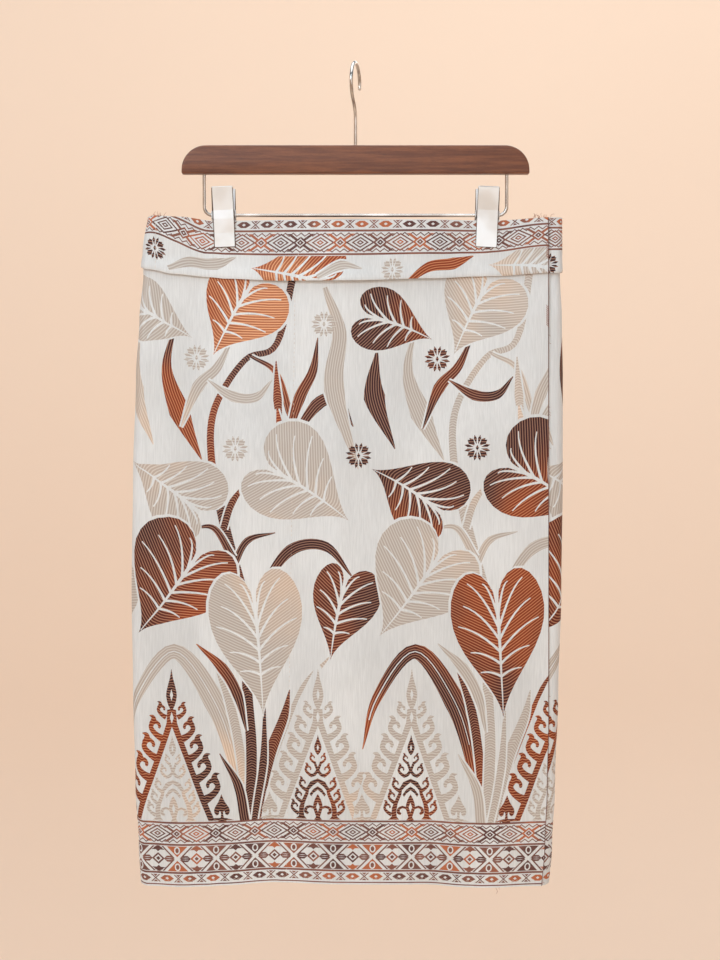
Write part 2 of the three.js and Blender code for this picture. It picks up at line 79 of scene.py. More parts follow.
# Long soft folds: side (-1 front, 1 back), where across, width, how far out at the hem, height at which it fades.
FOLDS = [
    (-1, -172, 34, 5.0, -430), (-1, -82, 30, -4.5, -330), (-1, -6, 46, 3.0, -480), (-1, 66, 36, -4.0, -360),
    (-1, 138, 38, 4.5, -420), (1, -150, 40, 5.0, -400), (1, -60, 38, -4.5, -350), (1, 30, 44, 4.0, -460),
    (1, 118, 40, -3.5, -380),
]
TUCK_STANDS = {
    "across": [-230, -170, -135, -90, -30, 30, 90, 135, 215],
    "by": [0.4, 1.2, 0.5, 1.6, 3.4, 2.6, 1.4, 0.5, 0.5],
}
TUCK = {"swell": 0.9, "swell_at": 0.06, "swell_reach": 0.14, "edge": 0.35}

# The chart's x runs along the wrap: these are its places at the wrap's whole numbers from 0 to 8.
CHART_X = np.array([217.9, 203.0, -218.5, -233.4, -248.3, -669.8, -684.7, -699.6, -1121.1])
CHART = {"hem": -839.0, "tuck": -217.0, "top": -160.0}
PANEL_HIGH, TUCK_HIGH = CHART["tuck"] - CHART["hem"], CHART["top"] - CHART["tuck"]
FLAT_WIDE = CHART_X[1] - CHART_X[2]  # one flat stretch of the wrap, front or back
ONE_TURN = 6  # wrap units once round the tube
NUDGE = 0.004  # how far each way along the wrap a normal looks


# ---- Small maths ----

def mix(a, b, t):
    return a + (b - a) * t


def smooth(low, high, value):
    t = np.clip((value - low) / (high - low), 0, 1)
    return t * t * (3 - 2 * t)


def eased(table, key, at, column):
    """A column of a table at places between its rows, eased from row to row."""
    keys, values = np.array(table[key], float), np.array(table[column], float)
    after = np.clip(np.searchsorted(keys, at), 1, len(keys) - 1)
    return mix(values[after - 1], values[after], smooth(keys[after - 1], keys[after], at))


# ---- The form of the cloth, for arrays of places ----
# The wrap coordinate is 0 at the right side fold, 1 to 2 across the front from right to left,
# 3 at the left side fold, 4 to 5 across the back, and so on round again for the under wrap.

def stand_off(side, share, x, height, turn_round):
    """How far the cloth stands from the rail's plane on one side of a section."""
    middle = eased(SECTIONS, "height", height, "front" if side < 0 else "back")
    opened = turn_round + (middle - turn_round) * np.clip(1 - share * share, 0, 1) ** 1.5
    jaw_edge = CLIP["at"] + CLIP["width"] / 2 + 3
    across = np.abs(x)
    inward = CLOTH["middle_belly"] * smooth(jaw_edge - 2 * CLIP["at"], 0, -across)
    outward = (turn_round - CLOTH["pinch"]) * smooth(jaw_edge, CLIP["at"] + 68, across)
    gripped = CLOTH["pinch"] + np.where(across < CLIP["at"], inward, outward)
    foot = RAIL["height"] - CLIP["below"]
    folds = sum(
        out * np.exp(-(((x - at) / width) ** 2)) * smooth(-fades, 850, -height)
        for fold_side, at, width, out, fades in FOLDS if fold_side == side
    )
    edge_free = smooth(-1, -0.8, -np.abs(share))
    return mix(gripped, opened, smooth(-foot, CLOTH["pinch_fade"] - foot, -height)) + folds * edge_free


def section(height):
    """The tube's left and right edges at a height, and the radius of its side folds."""
    return (eased(SECTIONS, "height", height, column) for column in ("left", "right", "round"))


def tube_point(wrap, height):
    turn = np.mod(wrap, ONE_TURN)
    left, right, turn_round = section(height)
    middle, flat = (left + right) / 2, (right - left) / 2 - turn_round
    front, back = (turn >= 1) & (turn <= 2), (turn >= 4) & (turn <= 5)
    share = np.where(front, 3 - 2 * turn, 2 * turn - 9)
    x = middle + flat * share
    quarters = np.where(turn < 1, turn, np.where(turn < 4, turn - 1, turn - 2))
    centre = np.where((turn > 2) & (turn < 4), middle - flat, middle + flat)
    angle = quarters * math.pi / 2
    y = np.where(front, -stand_off(-1, share, x, height, turn_round), stand_off(1, share, x, height, turn_round))
    on_flat = front | back
    return np.where(on_flat, x, centre + turn_round * np.cos(angle)), np.where(on_flat, y, -turn_round * np.sin(angle))


def tube_normal(wrap, height):
    (ax, ay), (bx, by) = tube_point(wrap - NUDGE, height), tube_point(wrap + NUDGE, height)
    length = np.hypot(bx - ax, by - ay)
    return -(by - ay) / length, (bx - ax) / length


def row_height(wrap, row):
    """The height of a row, from the hem (0) by the tuck's lower edge (1) to the top (2)."""
    hem, tuck, top = (eased(RIM, "wrap", np.mod(wrap, ONE_TURN), column) for column in ("hem", "tuck", "top"))
    return np.where(row <= 1, mix(hem, tuck, row), mix(tuck, top, row - 1))


def wrap_at(x, row):
    """The wrap coordinate at which the front of a row crosses a place."""
    wrap = np.full_like(row, 1.5)
    for _ in range(4):
        left, right, turn_round = section(row_height(wrap, row))
        wrap = 1 + (1 - (x - (left + right) / 2) / ((right - left) / 2 - turn_round)) / 2
    return wrap


def chart_of(wrap, row):
    """Where a place on the cloth lies on the flat chart."""
    z = np.where(row <= 1, mix(CHART["hem"], CHART["tuck"], row), mix(CHART["tuck"], CHART["top"], row - 1))
    return np.stack([np.interp(wrap, np.arange(9), CHART_X), z], axis=-1)


def place_of(chart):
    """The wrap coordinate and row of places on the chart."""
    wrap = np.interp(-chart[:, 0], -CHART_X, np.arange(9))
    z = chart[:, 1]
    in_panel, in_tuck = (z - CHART["hem"]) / PANEL_HIGH, 1 + (z - CHART["tuck"]) / TUCK_HIGH
    return wrap, np.where(z <= CHART["tuck"], in_panel, in_tuck)


def free_edge(row):
    """The front panel's free side, which swings in a little at the hem."""
    return wrap_at(PARTING["free_edge"] - PARTING["free_swing"] * smooth(-0.09, 0, -row), row)


def seam_wrap(row):
    """Where the row of stitches that holds the under wrap shows on the front."""
    return wrap_at(mix(PARTING["stitch_hem"], PARTING["stitch_top"], row / 2), row)


def stitch_row(row):
    """The wrap's inner end, a whole turn further on than where its stitches show."""
    return seam_wrap(row) + ONE_TURN


def cover(wrap, row):
    """How far the front panel lies outside the tube: one ply over the under wrap, two at the waist."""
    x, _ = tube_point(wrap, row_height(wrap, row))
    covered = smooth(PARTING["cover_end"], PARTING["stitch_hem"], x) * (1 + smooth(0.84, 0.96, row))
    return np.where(wrap < 2, CLOTH["ply"] * covered, 0)


# ---- Small relief of the sewn cloth, always outwards ----

# Soft dents and ridges: wrap, row, their widths along each, the lean of the ridge, and its height.
CREASES = [
    (1.70, 1.46, 0.022, 0.16, 0.05, 1.0), (1.30, 1.50, 0.016, 0.20, -0.04, 1.3), (1.235, 1.40, 0.010, 0.24, 0.02, 1.2),
    (1.42, 1.30, 0.030, 0.12, 0.10, 0.9), (1.88, 1.42, 0.012, 0.22, 0.03, 1.2), (1.55, 1.34, 0.036, 0.10, -0.12, 0.7),
    (1.66, 0.02, 0.013, 0.04, 0.30, 1.6), (1.695, 0.05, 0.020, 0.07, -0.30, 1.2), (1.90, 0.04, 0.024, 0.05, 0.2, 1.0),
    (1.25, 0.35, 0.028, 0.22, 0.05, 1.2), (1.52, 0.55, 0.030, 0.25, -0.06, 1.0), (1.80, 0.30, 0.034, 0.22, 0.06, 1.3),
    (1.12, 0.06, 0.022, 0.05, -0.2, 0.9), (1.40, 0.82, 0.026, 0.10, 0.10, 0.9), (1.93, 0.72, 0.014, 0.16, 0.02, 1.0),
    (4.30, 1.42, 0.020, 0.20, 0.04, 1.2), (4.62, 1.36, 0.024, 0.18, -0.05, 1.0), (4.86, 1.44, 0.012, 0.20, 0.02, 1.2),
    (4.22, 0.40, 0.030, 0.26, 0.05, 1.3), (4.50, 0.60, 0.032, 0.24, -0.04, 1.0), (4.76, 0.34, 0.030, 0.22, 0.06, 1.3),
    (4.40, 0.05, 0.018, 0.05, 0.3, 1.3), (4.90, 0.06, 0.022, 0.05, -0.2, 1.0),
]

# Puckers beside the stitch row and the wavy hem: heights and pitch in millimetres, reaches in wraps and rows.
PUCKERS = {"reach": 0.012, "pitch": 7.3, "high": 0.4, "row": 0.12, "swell": 0.25}
HEM_WAVE = {"reach": 0.03, "high": 0.35}


def relief(wrap, row):
    """Small height of the cloth over its form: creases, and the puckers beside the stitch row and along the hem."""
    height = np.zeros_like(wrap)
    for at, at_row, wide, long, lean, high in CREASES:
        across = (wrap - at - lean * 0.1 * (row - at_row)) / wide
        height += high * np.exp(-across**2 - ((row - at_row) / long) ** 2)
    beside = (wrap - seam_wrap(np.clip(row, 0, 2))) / PUCKERS["reach"]
    wave = 0.5 + 0.5 * np.sin(row * PANEL_HIGH / PUCKERS["pitch"] + 1.9 * np.sin(row * 31))
    puckers = PUCKERS["high"] * np.exp(-(beside**2)) * wave * (np.abs(beside) > PUCKERS["row"])
    height += puckers + PUCKERS["swell"] * np.exp(-((beside / 3) ** 2)) * np.sin(row * 71) ** 2
    wave = 0.5 + 0.5 * np.sin(wrap * 53 + 2 * np.sin(wrap * 17))
    return height + HEM_WAVE["high"] * np.exp(-((row / HEM_WAVE["reach"]) ** 2)) * wave


def cloth_point(wrap, row, out):
    """Points of the cloth in millimetres, moved out from the tube's face."""
    height = row_height(wrap, row)
    x, y = tube_point(wrap, height)
    nx, ny = tube_normal(wrap, height)
    return np.stack([x + nx * out, y + ny * out, height], axis=-1)


# ---- The brocade's chart, drawn flat in millimetres: x across the cloth, z up it ----

REPEAT = 247.0  # width of one repeat; the next one swaps copper and silver
HEM_BANDS = -772.5  # top of the bands along the hem
SWAP = {"copper": "silver", "silver": "copper"}
SHINE_AND_DULL = 1.9  # a figure with a painted highlight in one colour is dull in the other: its two painted sheen values add up to this
FIELD_SHIFT = 6  # how far the field of leaves lies to the right of the repeat
LEAF_EDGE, BLADE_EDGE = 2.6, 2.2 * 1.6  # how much wider the satin under a leaf's side and under a whole blade is


def through(stops, steps):
    """Points of a smooth line from the second stop to the last but one, with so many steps between each two."""
    return [
        0.5 * (2 * b + (c - a) * t + (2 * a - 5 * b + 4 * c - d) * t**2 + (3 * b - a - 3 * c + d) * t**3)
        for a, b, c, d in zip(stops, stops[1:], stops[2:], stops[3:]) for t in np.arange(steps) / steps
    ]


def spline(points, steps=7):
    """A smooth line through the points, from the first to the last."""
    points = np.array(points, float)
    ends = [2 * points[0] - points[1], *points, 2 * points[-1] - points[-2]]
    return np.array([*through(ends, steps), points[-1]])


def closed_spline(points, steps=2):
    """A smooth line round through the points and back to the first."""
    points = np.array(points, float)
    return np.array(through([points[-1], *points, points[0], points[1]], steps))


def ribbon(line, widths):
    """The outline of a band of varying width along a line."""
    along = np.gradient(line, axis=0)
    along /= np.linalg.norm(along, axis=1, keepdims=True)
    half = np.stack([-along[:, 1], along[:, 0]], axis=1) * (np.asarray(widths, float) / 2)[:, None]
    return np.concatenate([line + half, (line - half)[::-1]])


def from_line(points, line):
    """For each point, how far it lies along the line, and to its left."""
    starts, steps = line[:-1], np.diff(line, axis=0)
    lengths = np.linalg.norm(steps, axis=1)
    before = np.concatenate([[0], np.cumsum(lengths)[:-1]])
    away = points[:, None] - starts
    share = np.clip((away * steps).sum(2) / lengths**2, 0, 1)
    off = away - share[..., None] * steps
    nearest = np.linalg.norm(off, axis=2).argmin(1)
    rows = np.arange(len(points))
    side = steps[nearest, 0] * away[rows, nearest, 1] - steps[nearest, 1] * away[rows, nearest, 0]
    return before[nearest] + share[rows, nearest] * lengths[nearest], side / lengths[nearest]


def level(p):
    """Weft rows that run level."""
    return p[:, 1], p[:, 0]


def waves(p):
    """Weft rows that wave gently, for the scrollwork."""
    return p[:, 1] + 0.7 * np.sin(p[:, 0] * 0.9), p[:, 0]


def motif(outline, weft, rows=level, glow=0.5):
    """One figure: rows gives, for points, the coordinate across its weft rows and the one along them; the last value is
    the painted sheen of a copper or silver figure and the tint of a band figure.
    """
    return {"outline": np.asarray(outline, float), "weft": weft, "rows": rows, "glow": glow}


def swapped(figures, dx, swap):
    """The figures again, further along, with copper and silver changed over if asked."""
    def other(f):
        glow = SHINE_AND_DULL - f["glow"] if f["glow"] > 1 else f["glow"]
        return {"weft": SWAP.get(f["weft"], f["weft"]), "glow": glow}

    return [
        {**f, **(other(f) if swap else {}), "outline": f["outline"] + [dx, 0],
         "rows": lambda p, f=f: f["rows"](p - [dx, 0])}
        for f in figures
    ]


def mirrored(figures, about):
    """The same figures turned over from left to right."""
    return [
        {**f, "outline": (f["outline"] * [-1, 1] + [2 * about, 0])[::-1],
         "rows": lambda p, f=f: f["rows"](p * [-1, 1] + [2 * about, 0])}
        for f in figures
    ]


# A leaf in its own square: u across, v from its lobes (0) to its tip (-1).
def heart(t):
    v = 13 * np.cos(t) - 5 * np.cos(2 * t) - 2 * np.cos(3 * t) - np.cos(4 * t)
    return np.stack([np.sin(t) ** 3, (v - 11.9) / 28.9], axis=-1)


HEART_TURNS = np.linspace(0, 2 * math.pi, 44, endpoint=False)
NOTCH = heart(np.array([0.0]))[0, 1]


def leaf(x, z, long, wide, turn, weft, bend=0.0, lean=0.0, veins=7, glow=0.5):
    """A heart leaf: turn swings its tip from straight down, bend curls the tip and lean makes one half wider."""
    swing = math.radians(turn)
    down = np.array([math.sin(swing), -math.cos(swing)])
    aside = np.array([math.cos(swing), math.sin(swing)])

    def place(uv, grow=0.0):
        half = np.where(uv[:, 0] < 0, 1 - lean, 1 + lean) * (wide / 2 + grow)
        tip = np.clip(-0.25 - uv[:, 1], 0, None) ** 2
        centre = uv[:, 1] + 0.42
        return (np.array([x, z]) + (uv[:, 0] * half + bend * tip)[:, None] * aside
                - ((centre * (long + 2 * grow)) + 0.08 * long)[:, None] * down)

    def rows(p):
        away = p - [x, z]
        along, sideways = away @ down, away @ aside
        return along * 0.9 + 0.55 * np.hypot(sideways, 6), sideways

    figures = [motif(place(heart(HEART_TURNS), LEAF_EDGE), "satin"), motif(place(heart(HEART_TURNS)), weft, rows, glow)]
    rib = np.stack([np.zeros(11), np.linspace(NOTCH + 0.02, -0.97, 11)], axis=1)
    figures.append(motif(ribbon(place(rib), np.linspace(4.2, 0.7, 11)), "satin"))
    for side in (-1, 1):
        for k in range(veins):
            share = k / (veins - 1)
            start = np.array([0, NOTCH - 0.01 - 0.47 * share**1.1])
            end = heart(np.array([0.5 + 1.72 * share]))[0]
            end = start + (end - start) * (0.87 - 0.1 * (k % 2))
            knee = mix(start, end, 0.5) + [0, 0.12 - 0.09 * share]
            t = np.linspace(0, 1, 7)[:, None]
            line = (1 - t) ** 2 * start + 2 * t * (1 - t) * knee + t**2 * end
            line[:, 0] *= side
            figures.append(motif(ribbon(place(line), np.linspace(2.7, 1.1, 7)), "satin"))
    return figures


def blade(points, widths, weft, glow=0.5, stem=False, slit=0.0):
    """A blade or stem along a spline, with its width at each of the points, and a slit for its midrib."""
    line = spline(points)
    at = np.linspace(0, 1, len(line))
    width = np.interp(at, np.linspace(0, 1, len(widths)), widths)
    width = np.where(width < 0.4, 0.4, width)

    def rows(p):
        along, left = from_line(p, line)
        return (along + 0.6 * np.abs(left), left) if stem else (left * 1.1, along)

    figures = [motif(ribbon(line, width + BLADE_EDGE), "satin"), motif(ribbon(line, width), weft, rows, glow)]
    if slit:
        rib = line[len(line) // 8:-len(line) // 4]
        figures.append(motif(ribbon(rib, np.linspace(slit, 0.7, len(rib))), "satin"))
    return figures


def diamond(x, z, half_width, half_height):
    return np.array([[x + half_width, z], [x, z + half_height], [x - half_width, z], [x, z - half_height]], float)


def oval(x, z, half_width, half_height, steps=10):
    turns = np.linspace(0, 2 * math.pi, steps, endpoint=False)
    return np.stack([x + half_width * np.cos(turns), z + half_height * np.sin(turns)], axis=1)


def star(x, z, weft, size=13.6):
    """The eight-armed star flower: broad petals set slantwise and thin rays between them."""
    arms = [(90 * k + d, 1.0, 0.24) for k in range(4) for d in (-13, 13)]
    arms += [(90 * k + d, 0.95, 0.36) for k in range(4) for d in (39, 51)]
    figures = []
    for angle, reach, fat in arms:
        way = np.array([math.cos(math.radians(angle)), math.sin(math.radians(angle))])
        off = np.array([-way[1], way[0]]) * size * fat * 0.5
        start, end = way * size * 0.28, way * size * reach
        outline = [start, mix(start, end, 0.62) - off, end, mix(start, end, 0.62) + off]
        figures.append(motif(np.array(outline) + [x, z], weft, glow=0.2))
    return figures + [motif(diamond(x, z, 1.6, 3.0), weft, glow=0.2)]


# A curl of the scrollwork: an arm that leaves the strip, hooks over and winds in, and the flame on its shoulder.
CURL_ARM = [(-5.8, -12), (0, -8.8), (5.3, -4.0), (7.5, 0.9), (5.3, 5.3), (1.8, 7.1), (-1.8, 5.3), (-3.1, 2.2),
            (-2.2, 0)]
CURL_WIDE = [9, 7.2, 6.2, 5.6, 5.4, 5, 4, 3.6, 2.5]
CURL_FLAME = [(9.3, 4.4), (7.5, 8.4), (6.6, 11.9), (9.3, 13.9), (4.9, 15.0), (1.8, 12.8), (0.6, 9.3), (0.9, 6.6)]


def widths_along(widths, line):
    """A row of widths spread evenly over the points of a line."""
    return np.interp(np.linspace(0, len(widths) - 1, len(line)), range(len(widths)), widths)


def curl(x, z, size, weft, slim=1.0):
    arm = spline(np.array(CURL_ARM) * size + [x, z], 2)
    wide = widths_along(CURL_WIDE, arm) * size * slim
    flame = closed_spline(np.array(CURL_FLAME) * [size * slim, size] + [x + (1 - slim) * 6 * size, z])
    return [motif(ribbon(arm, wide), weft, waves, 0.6), motif(flame, weft, waves, 0.6)]


def tendril(foot, points, widths, weft, glow=0.5):
    """A short curved arm of the scrollwork, drawn through a few points above its foot."""
    line = spline(np.array(points, float) + foot, 2)
    return motif(ribbon(line, widths_along(widths, line)), weft, waves, glow)


# The shoot triangle: curls of its outer strip (across, up, size) and of the small tree inside.
OUTER_CURLS = [(39.4, 34.0, 1.02), (30.4, 54.5, 1.0), (22.6, 74.5, 0.95), (15.6, 94.0, 0.86), (9.4, 112.5, 0.6)]
TREE_CURLS = [(23.0, 12.0, 0.55), (18.6, 23.5, 0.55), (14.6, 36.0, 0.52), (8.8, 50.5, 0.5), (4.8, 62.5, 0.4)]
FINIAL = [(0, 0), (3.2, 5), (5.6, 15), (4.2, 24), (1.7, 33), (0, 43)]
SPADE = [(4.6, -1), (1.6, 3), (1.2, 8.4), (2.6, 9.6), (3.4, 6.6), (6.0, 5.4), (8.2, 9), (7.2, 13.5), (3.4, 19), (0, 27)]


def both_sides(half):
    """The right half of an outline, from foot to head, and its mirror image back down."""
    half = np.array(half, float)
    return np.concatenate([half, (half * [-1, 1])[::-1]])


def shoot_triangle(x, outer, inner):
    """A bamboo-shoot triangle: two slanting strips set with curls, a finial, and a tree of curls inside."""
    foot = np.array([x, HEM_BANDS])
    clear = [(-60, 0), (-54, 28), (-42, 64), (-20, 122), (0, 162), (20, 122), (42, 64), (54, 28), (60, 0)]
    figures = [motif(np.array(clear) + foot, "satin")]
    strip = [(36, 0), (42.5, 0), (38, 12), (26.5, 42), (18.8, 62), (11.5, 82), (5.4, 100), (4.6, 113), (0, 114),
             (0, 96)]
    right = [motif(np.array(strip) + foot, outer, waves, 0.6)]
    for across, up, size in OUTER_CURLS:
        right += curl(x + across, HEM_BANDS + up, size, outer)
    right.append(motif(closed_spline(both_sides(SPADE)) + foot + [50.5, 0], outer, waves, 0.35))
    right.append(motif([(36, 0), (63, 0), (54, 2.6), (42, 2.6)] + foot, outer, waves, 0.4))
    figures += right + mirrored(right, x)
    figures.append(motif(closed_spline(both_sides(FINIAL)) + foot + [0, 112], outer, waves, 0.4))
    figures.append(motif(diamond(x, HEM_BANDS + 128, 1.7, 6.0), "satin"))
    figures.append(motif(diamond(x, HEM_BANDS + 105, 2.0, 6.0), "satin"))
    post = [(11.6, 0), (23.5, 0), (19.8, 3), (19.4, 12), (16.6, 19), (12.8, 27), (11.4, 33), (8.6, 33), (9.6, 26),
            (13.6, 16), (14.8, 8), (14.2, 3)]
    tree = [motif(np.array(post) + foot, inner, waves, 0.6)]
    for across, up, size in TREE_CURLS:
        tree += curl(x + across, HEM_BANDS + up, size, inner, slim=0.84)
    tree.append(motif([(0, 42), (0, 38.2), (5.5, 34), (9.5, 29.5), (11.5, 32), (7.6, 38.6)] + foot, inner, waves, 0.3))
    tree.append(motif([(0, 34), (0, 30.2), (4.2, 27), (6.8, 23.4), (8.4, 25.6), (4.6, 30.8)] + foot, inner, waves, 0.3))
    tree.append(tendril(foot, [(0, 50.5), (3.2, 46), (7.4, 44.6)], [3, 3.2, 3.4], inner, 0.3))
    tree.append(tendril(foot, [(0, 50.5), (1.6, 54), (3.4, 58.6)], [3, 2.6, 2.4], inner, 0.3))
    hook = [(4.2, 11.6), (8.4, 13.0), (12.2, 11.0), (12.6, 7.4), (9.8, 5.8)]
    tree.append(tendril(foot, hook, [2.2, 2.6, 3.0, 3.6, 2.2], inner))
    figures += tree + mirrored(tree, x)
    bud = both_sides([(4.2, -0.5), (2.0, 2.5), (5.0, 12), (3.2, 20), (0, 26)])
    figures.append(motif(closed_spline(bud) + foot, inner, waves, 0.5))
    figures.append(motif(diamond(x, HEM_BANDS + 12.5, 1.8, 5.2), "satin"))
    small_finial = both_sides(np.array(FINIAL) * [0.68, 0.49])
    figures.append(motif(closed_spline(small_finial) + foot + [0, 66], inner, waves, 0.4))
    figures.append(motif(diamond(x, HEM_BANDS + 73.6, 1.2, 3.4), "satin"))
    return figures


# ---- The bands of small lozenges ----

STEP = REPEAT / 6
TONES = [0.15, 0.75, 0.3, 0.9, 0.55, 0.2, 0.65]


def banded(outline, tone):
    """A figure in the bands' own weft."""
    return motif(outline, "mixed", glow=tone)


def band_line(x0, x1, z, thick=1.9):
    low, high = z - thick / 2, z + thick / 2
    return [banded([(x0, low), (x1, low), (x1, high), (x0, high)], 0.4)]


def ring(outer, inner, tone):
    """A figure with a hole: the outer shape, and satin over its middle."""
    return [banded(outer, tone), motif(inner, "satin")]


def steps_between(x0, x1, step):
    return range(int(math.floor(x0 / step)), int(math.ceil(x1 / step)) + 1)


def chevron(x, z, half, rise, thick):
    """One bend of a thin zigzag."""
    over = [(x - half, z), (x, z + rise), (x + half, z)]
    return over + [(x + half, z - thick), (x, z + rise - thick), (x - half, z - thick)]


def lozenge_row(x0, x1, z):
    """Nested lozenges, with bars that cross on a small dark one between them and thin zigzags by the edges."""
    figures = []
    for k in steps_between(x0, x1, STEP):
        x, tone, other = k * STEP, TONES[k % 7], TONES[(k + 2) % 7]
        for side in (-1, 1):
            for j in range(5):
                bend = chevron(x + (j - 2) * STEP / 5, z + side * 8.9 + 0.6, STEP / 10, -side * 2.9, 1.2)
                figures.append(banded(bend, 0.3))
        figures += ring(diamond(x, z, 15.2, 8.6), diamond(x, z, 12.4, 7.0), tone * 0.7)
        figures += ring(diamond(x, z, 8.8, 5.2), diamond(x, z, 6.4, 3.8), tone * 0.7)
        figures += ring(diamond(x, z, 3.9, 2.4), diamond(x, z, 1.7, 1.0), tone)
        y = x + STEP / 2
        for side in (-1, 1):
            top, foot = z + 8.3 * side, z - 8.3 * side
            figures.append(banded([(y - 14.6, top), (y - 10.4, top), (y + 14.6, foot), (y + 10.4, foot)], other))
        figures += ring(diamond(y, z, 7.8, 5.8), diamond(y, z, 5.0, 3.9), other)
        figures += ring(diamond(y, z, 3.5, 2.7), diamond(y, z, 1.1, 0.9), other * 0.5)
    return figures


def flat_eye(x, z, reach, flat, high):
    """A pointed eye with a level top and foot."""
    over = [(x - reach, z), (x - flat, z + high), (x + flat, z + high), (x + reach, z)]
    return over + [(x + flat, z - high), (x - flat, z - high)]


def lattice_row(x0, x1, z):
    """A lattice of crossing bars: eyes in its upright wedges, a lozenge between two arrowheads in each window."""
    figures = []
    for k in steps_between(x0, x1, STEP):
        x, tone = (k + 0.5) * STEP, TONES[(k + 1) % 7]
        for side in (-1, 1):
            rail, eye = z + side * 12.6, z + side * 8.4
            figures.append(banded([(x, z + side * 1.8), (x + 11.2, rail), (x - 11.2, rail)], tone))
            figures.append(motif(oval(x, eye, 3.3, 4.0), "satin"))
            figures.append(banded(oval(x, eye, 1.9, 2.6), tone * 0.6))
            for hand in (-1, 1):
                inner_foot, outer_foot = (x + hand * 2.6, z + side * 0.6), (x + hand * 4.6, z + side * 0.6)
                figures.append(banded([inner_foot, outer_foot, (x + hand * 17.0, rail), (x + hand * 15.0, rail)], 0.35))
                corner, edge = x + hand * STEP / 2, z + side * 12.9
                chip = [(corner, edge), (x + hand * (STEP / 2 - 3), edge), (corner, z + side * 12.0)]
                figures.append(banded(chip, 0.3))
        y, other = k * STEP, TONES[k % 7]
        figures += ring(diamond(y, z, 6.8, 6.0), diamond(y, z, 4.3, 3.8), other)
        figures.append(banded(diamond(y, z, 2.4, 2.1), other * 0.5))
        for side in (-1, 1):
            half = [(0, 6.9), (2.2, 8.8), (7.4, 8.8), (4.0, 10.6), (5.2, 10.6), (0, 13.2)]
            tree = [(y + a, z + side * b) for a, b in half] + [(y - a, z + side * b) for a, b in half[-2:0:-1]]
            figures.append(banded(tree, TONES[(k + 3) % 7]))
            near = y + side * 11.6
            figures.append(banded(flat_eye(near, z, 5.6, 2.2, 3.1), TONES[(k + side) % 7] * 0.5))
            for line in (-1.0, 1.0):
                figures.append(motif(diamond(near, z + line, 4.2, 0.3), "satin"))
    return figures


def eye_row(x0, x1, z, high=3.8):
    """The narrow edge band: small eyes in a net of crossing threads."""
    step, figures = STEP * 0.6, []
    for k in steps_between(x0, x1, step):
        x, tone = k * step, TONES[(2 * k + 1) % 7]
        figures += ring(flat_eye(x, z, 7.4, 2.6, high * 0.82), diamond(x, z, 2.0, 1.4), tone)
        y = x + step / 2
        for side in (-1, 1):
            near, far = z - side * high, z + side * high
            figures.append(banded([(y - 5.2, near), (y - 3.6, near), (y + 5.2, far), (y + 3.6, far)], 0.35))
            figures.append(banded([(y, z + side * 1.5), (y + 2.4, far), (y - 2.4, far)], 0.45))
    return figures


# The rows of the bands along the hem and along the waist, each with its height and, where it differs, its size.
HEM_ROWS = [(band_line, -774.2), (lozenge_row, -785.2), (band_line, -796.4), (lattice_row, -810.6),
            (band_line, -824.8), (eye_row, -830.6), (band_line, -836.8, 1.2)]
WAIST_ROWS = [(band_line, -192.6), (lozenge_row, -181.6), (band_line, -170.6), (eye_row, -164.4, 3.6)]
WAIST_GROUND = (-194.2, -150)  # the waist's bands lie on plain satin between these heights


def bands(rows, x0, x1):
    return [figure for row, z, *size in rows for figure in row(x0, x1, z, *size)]


# ---- The field of leaves, in a layout of the part's own, and the whole chart ----

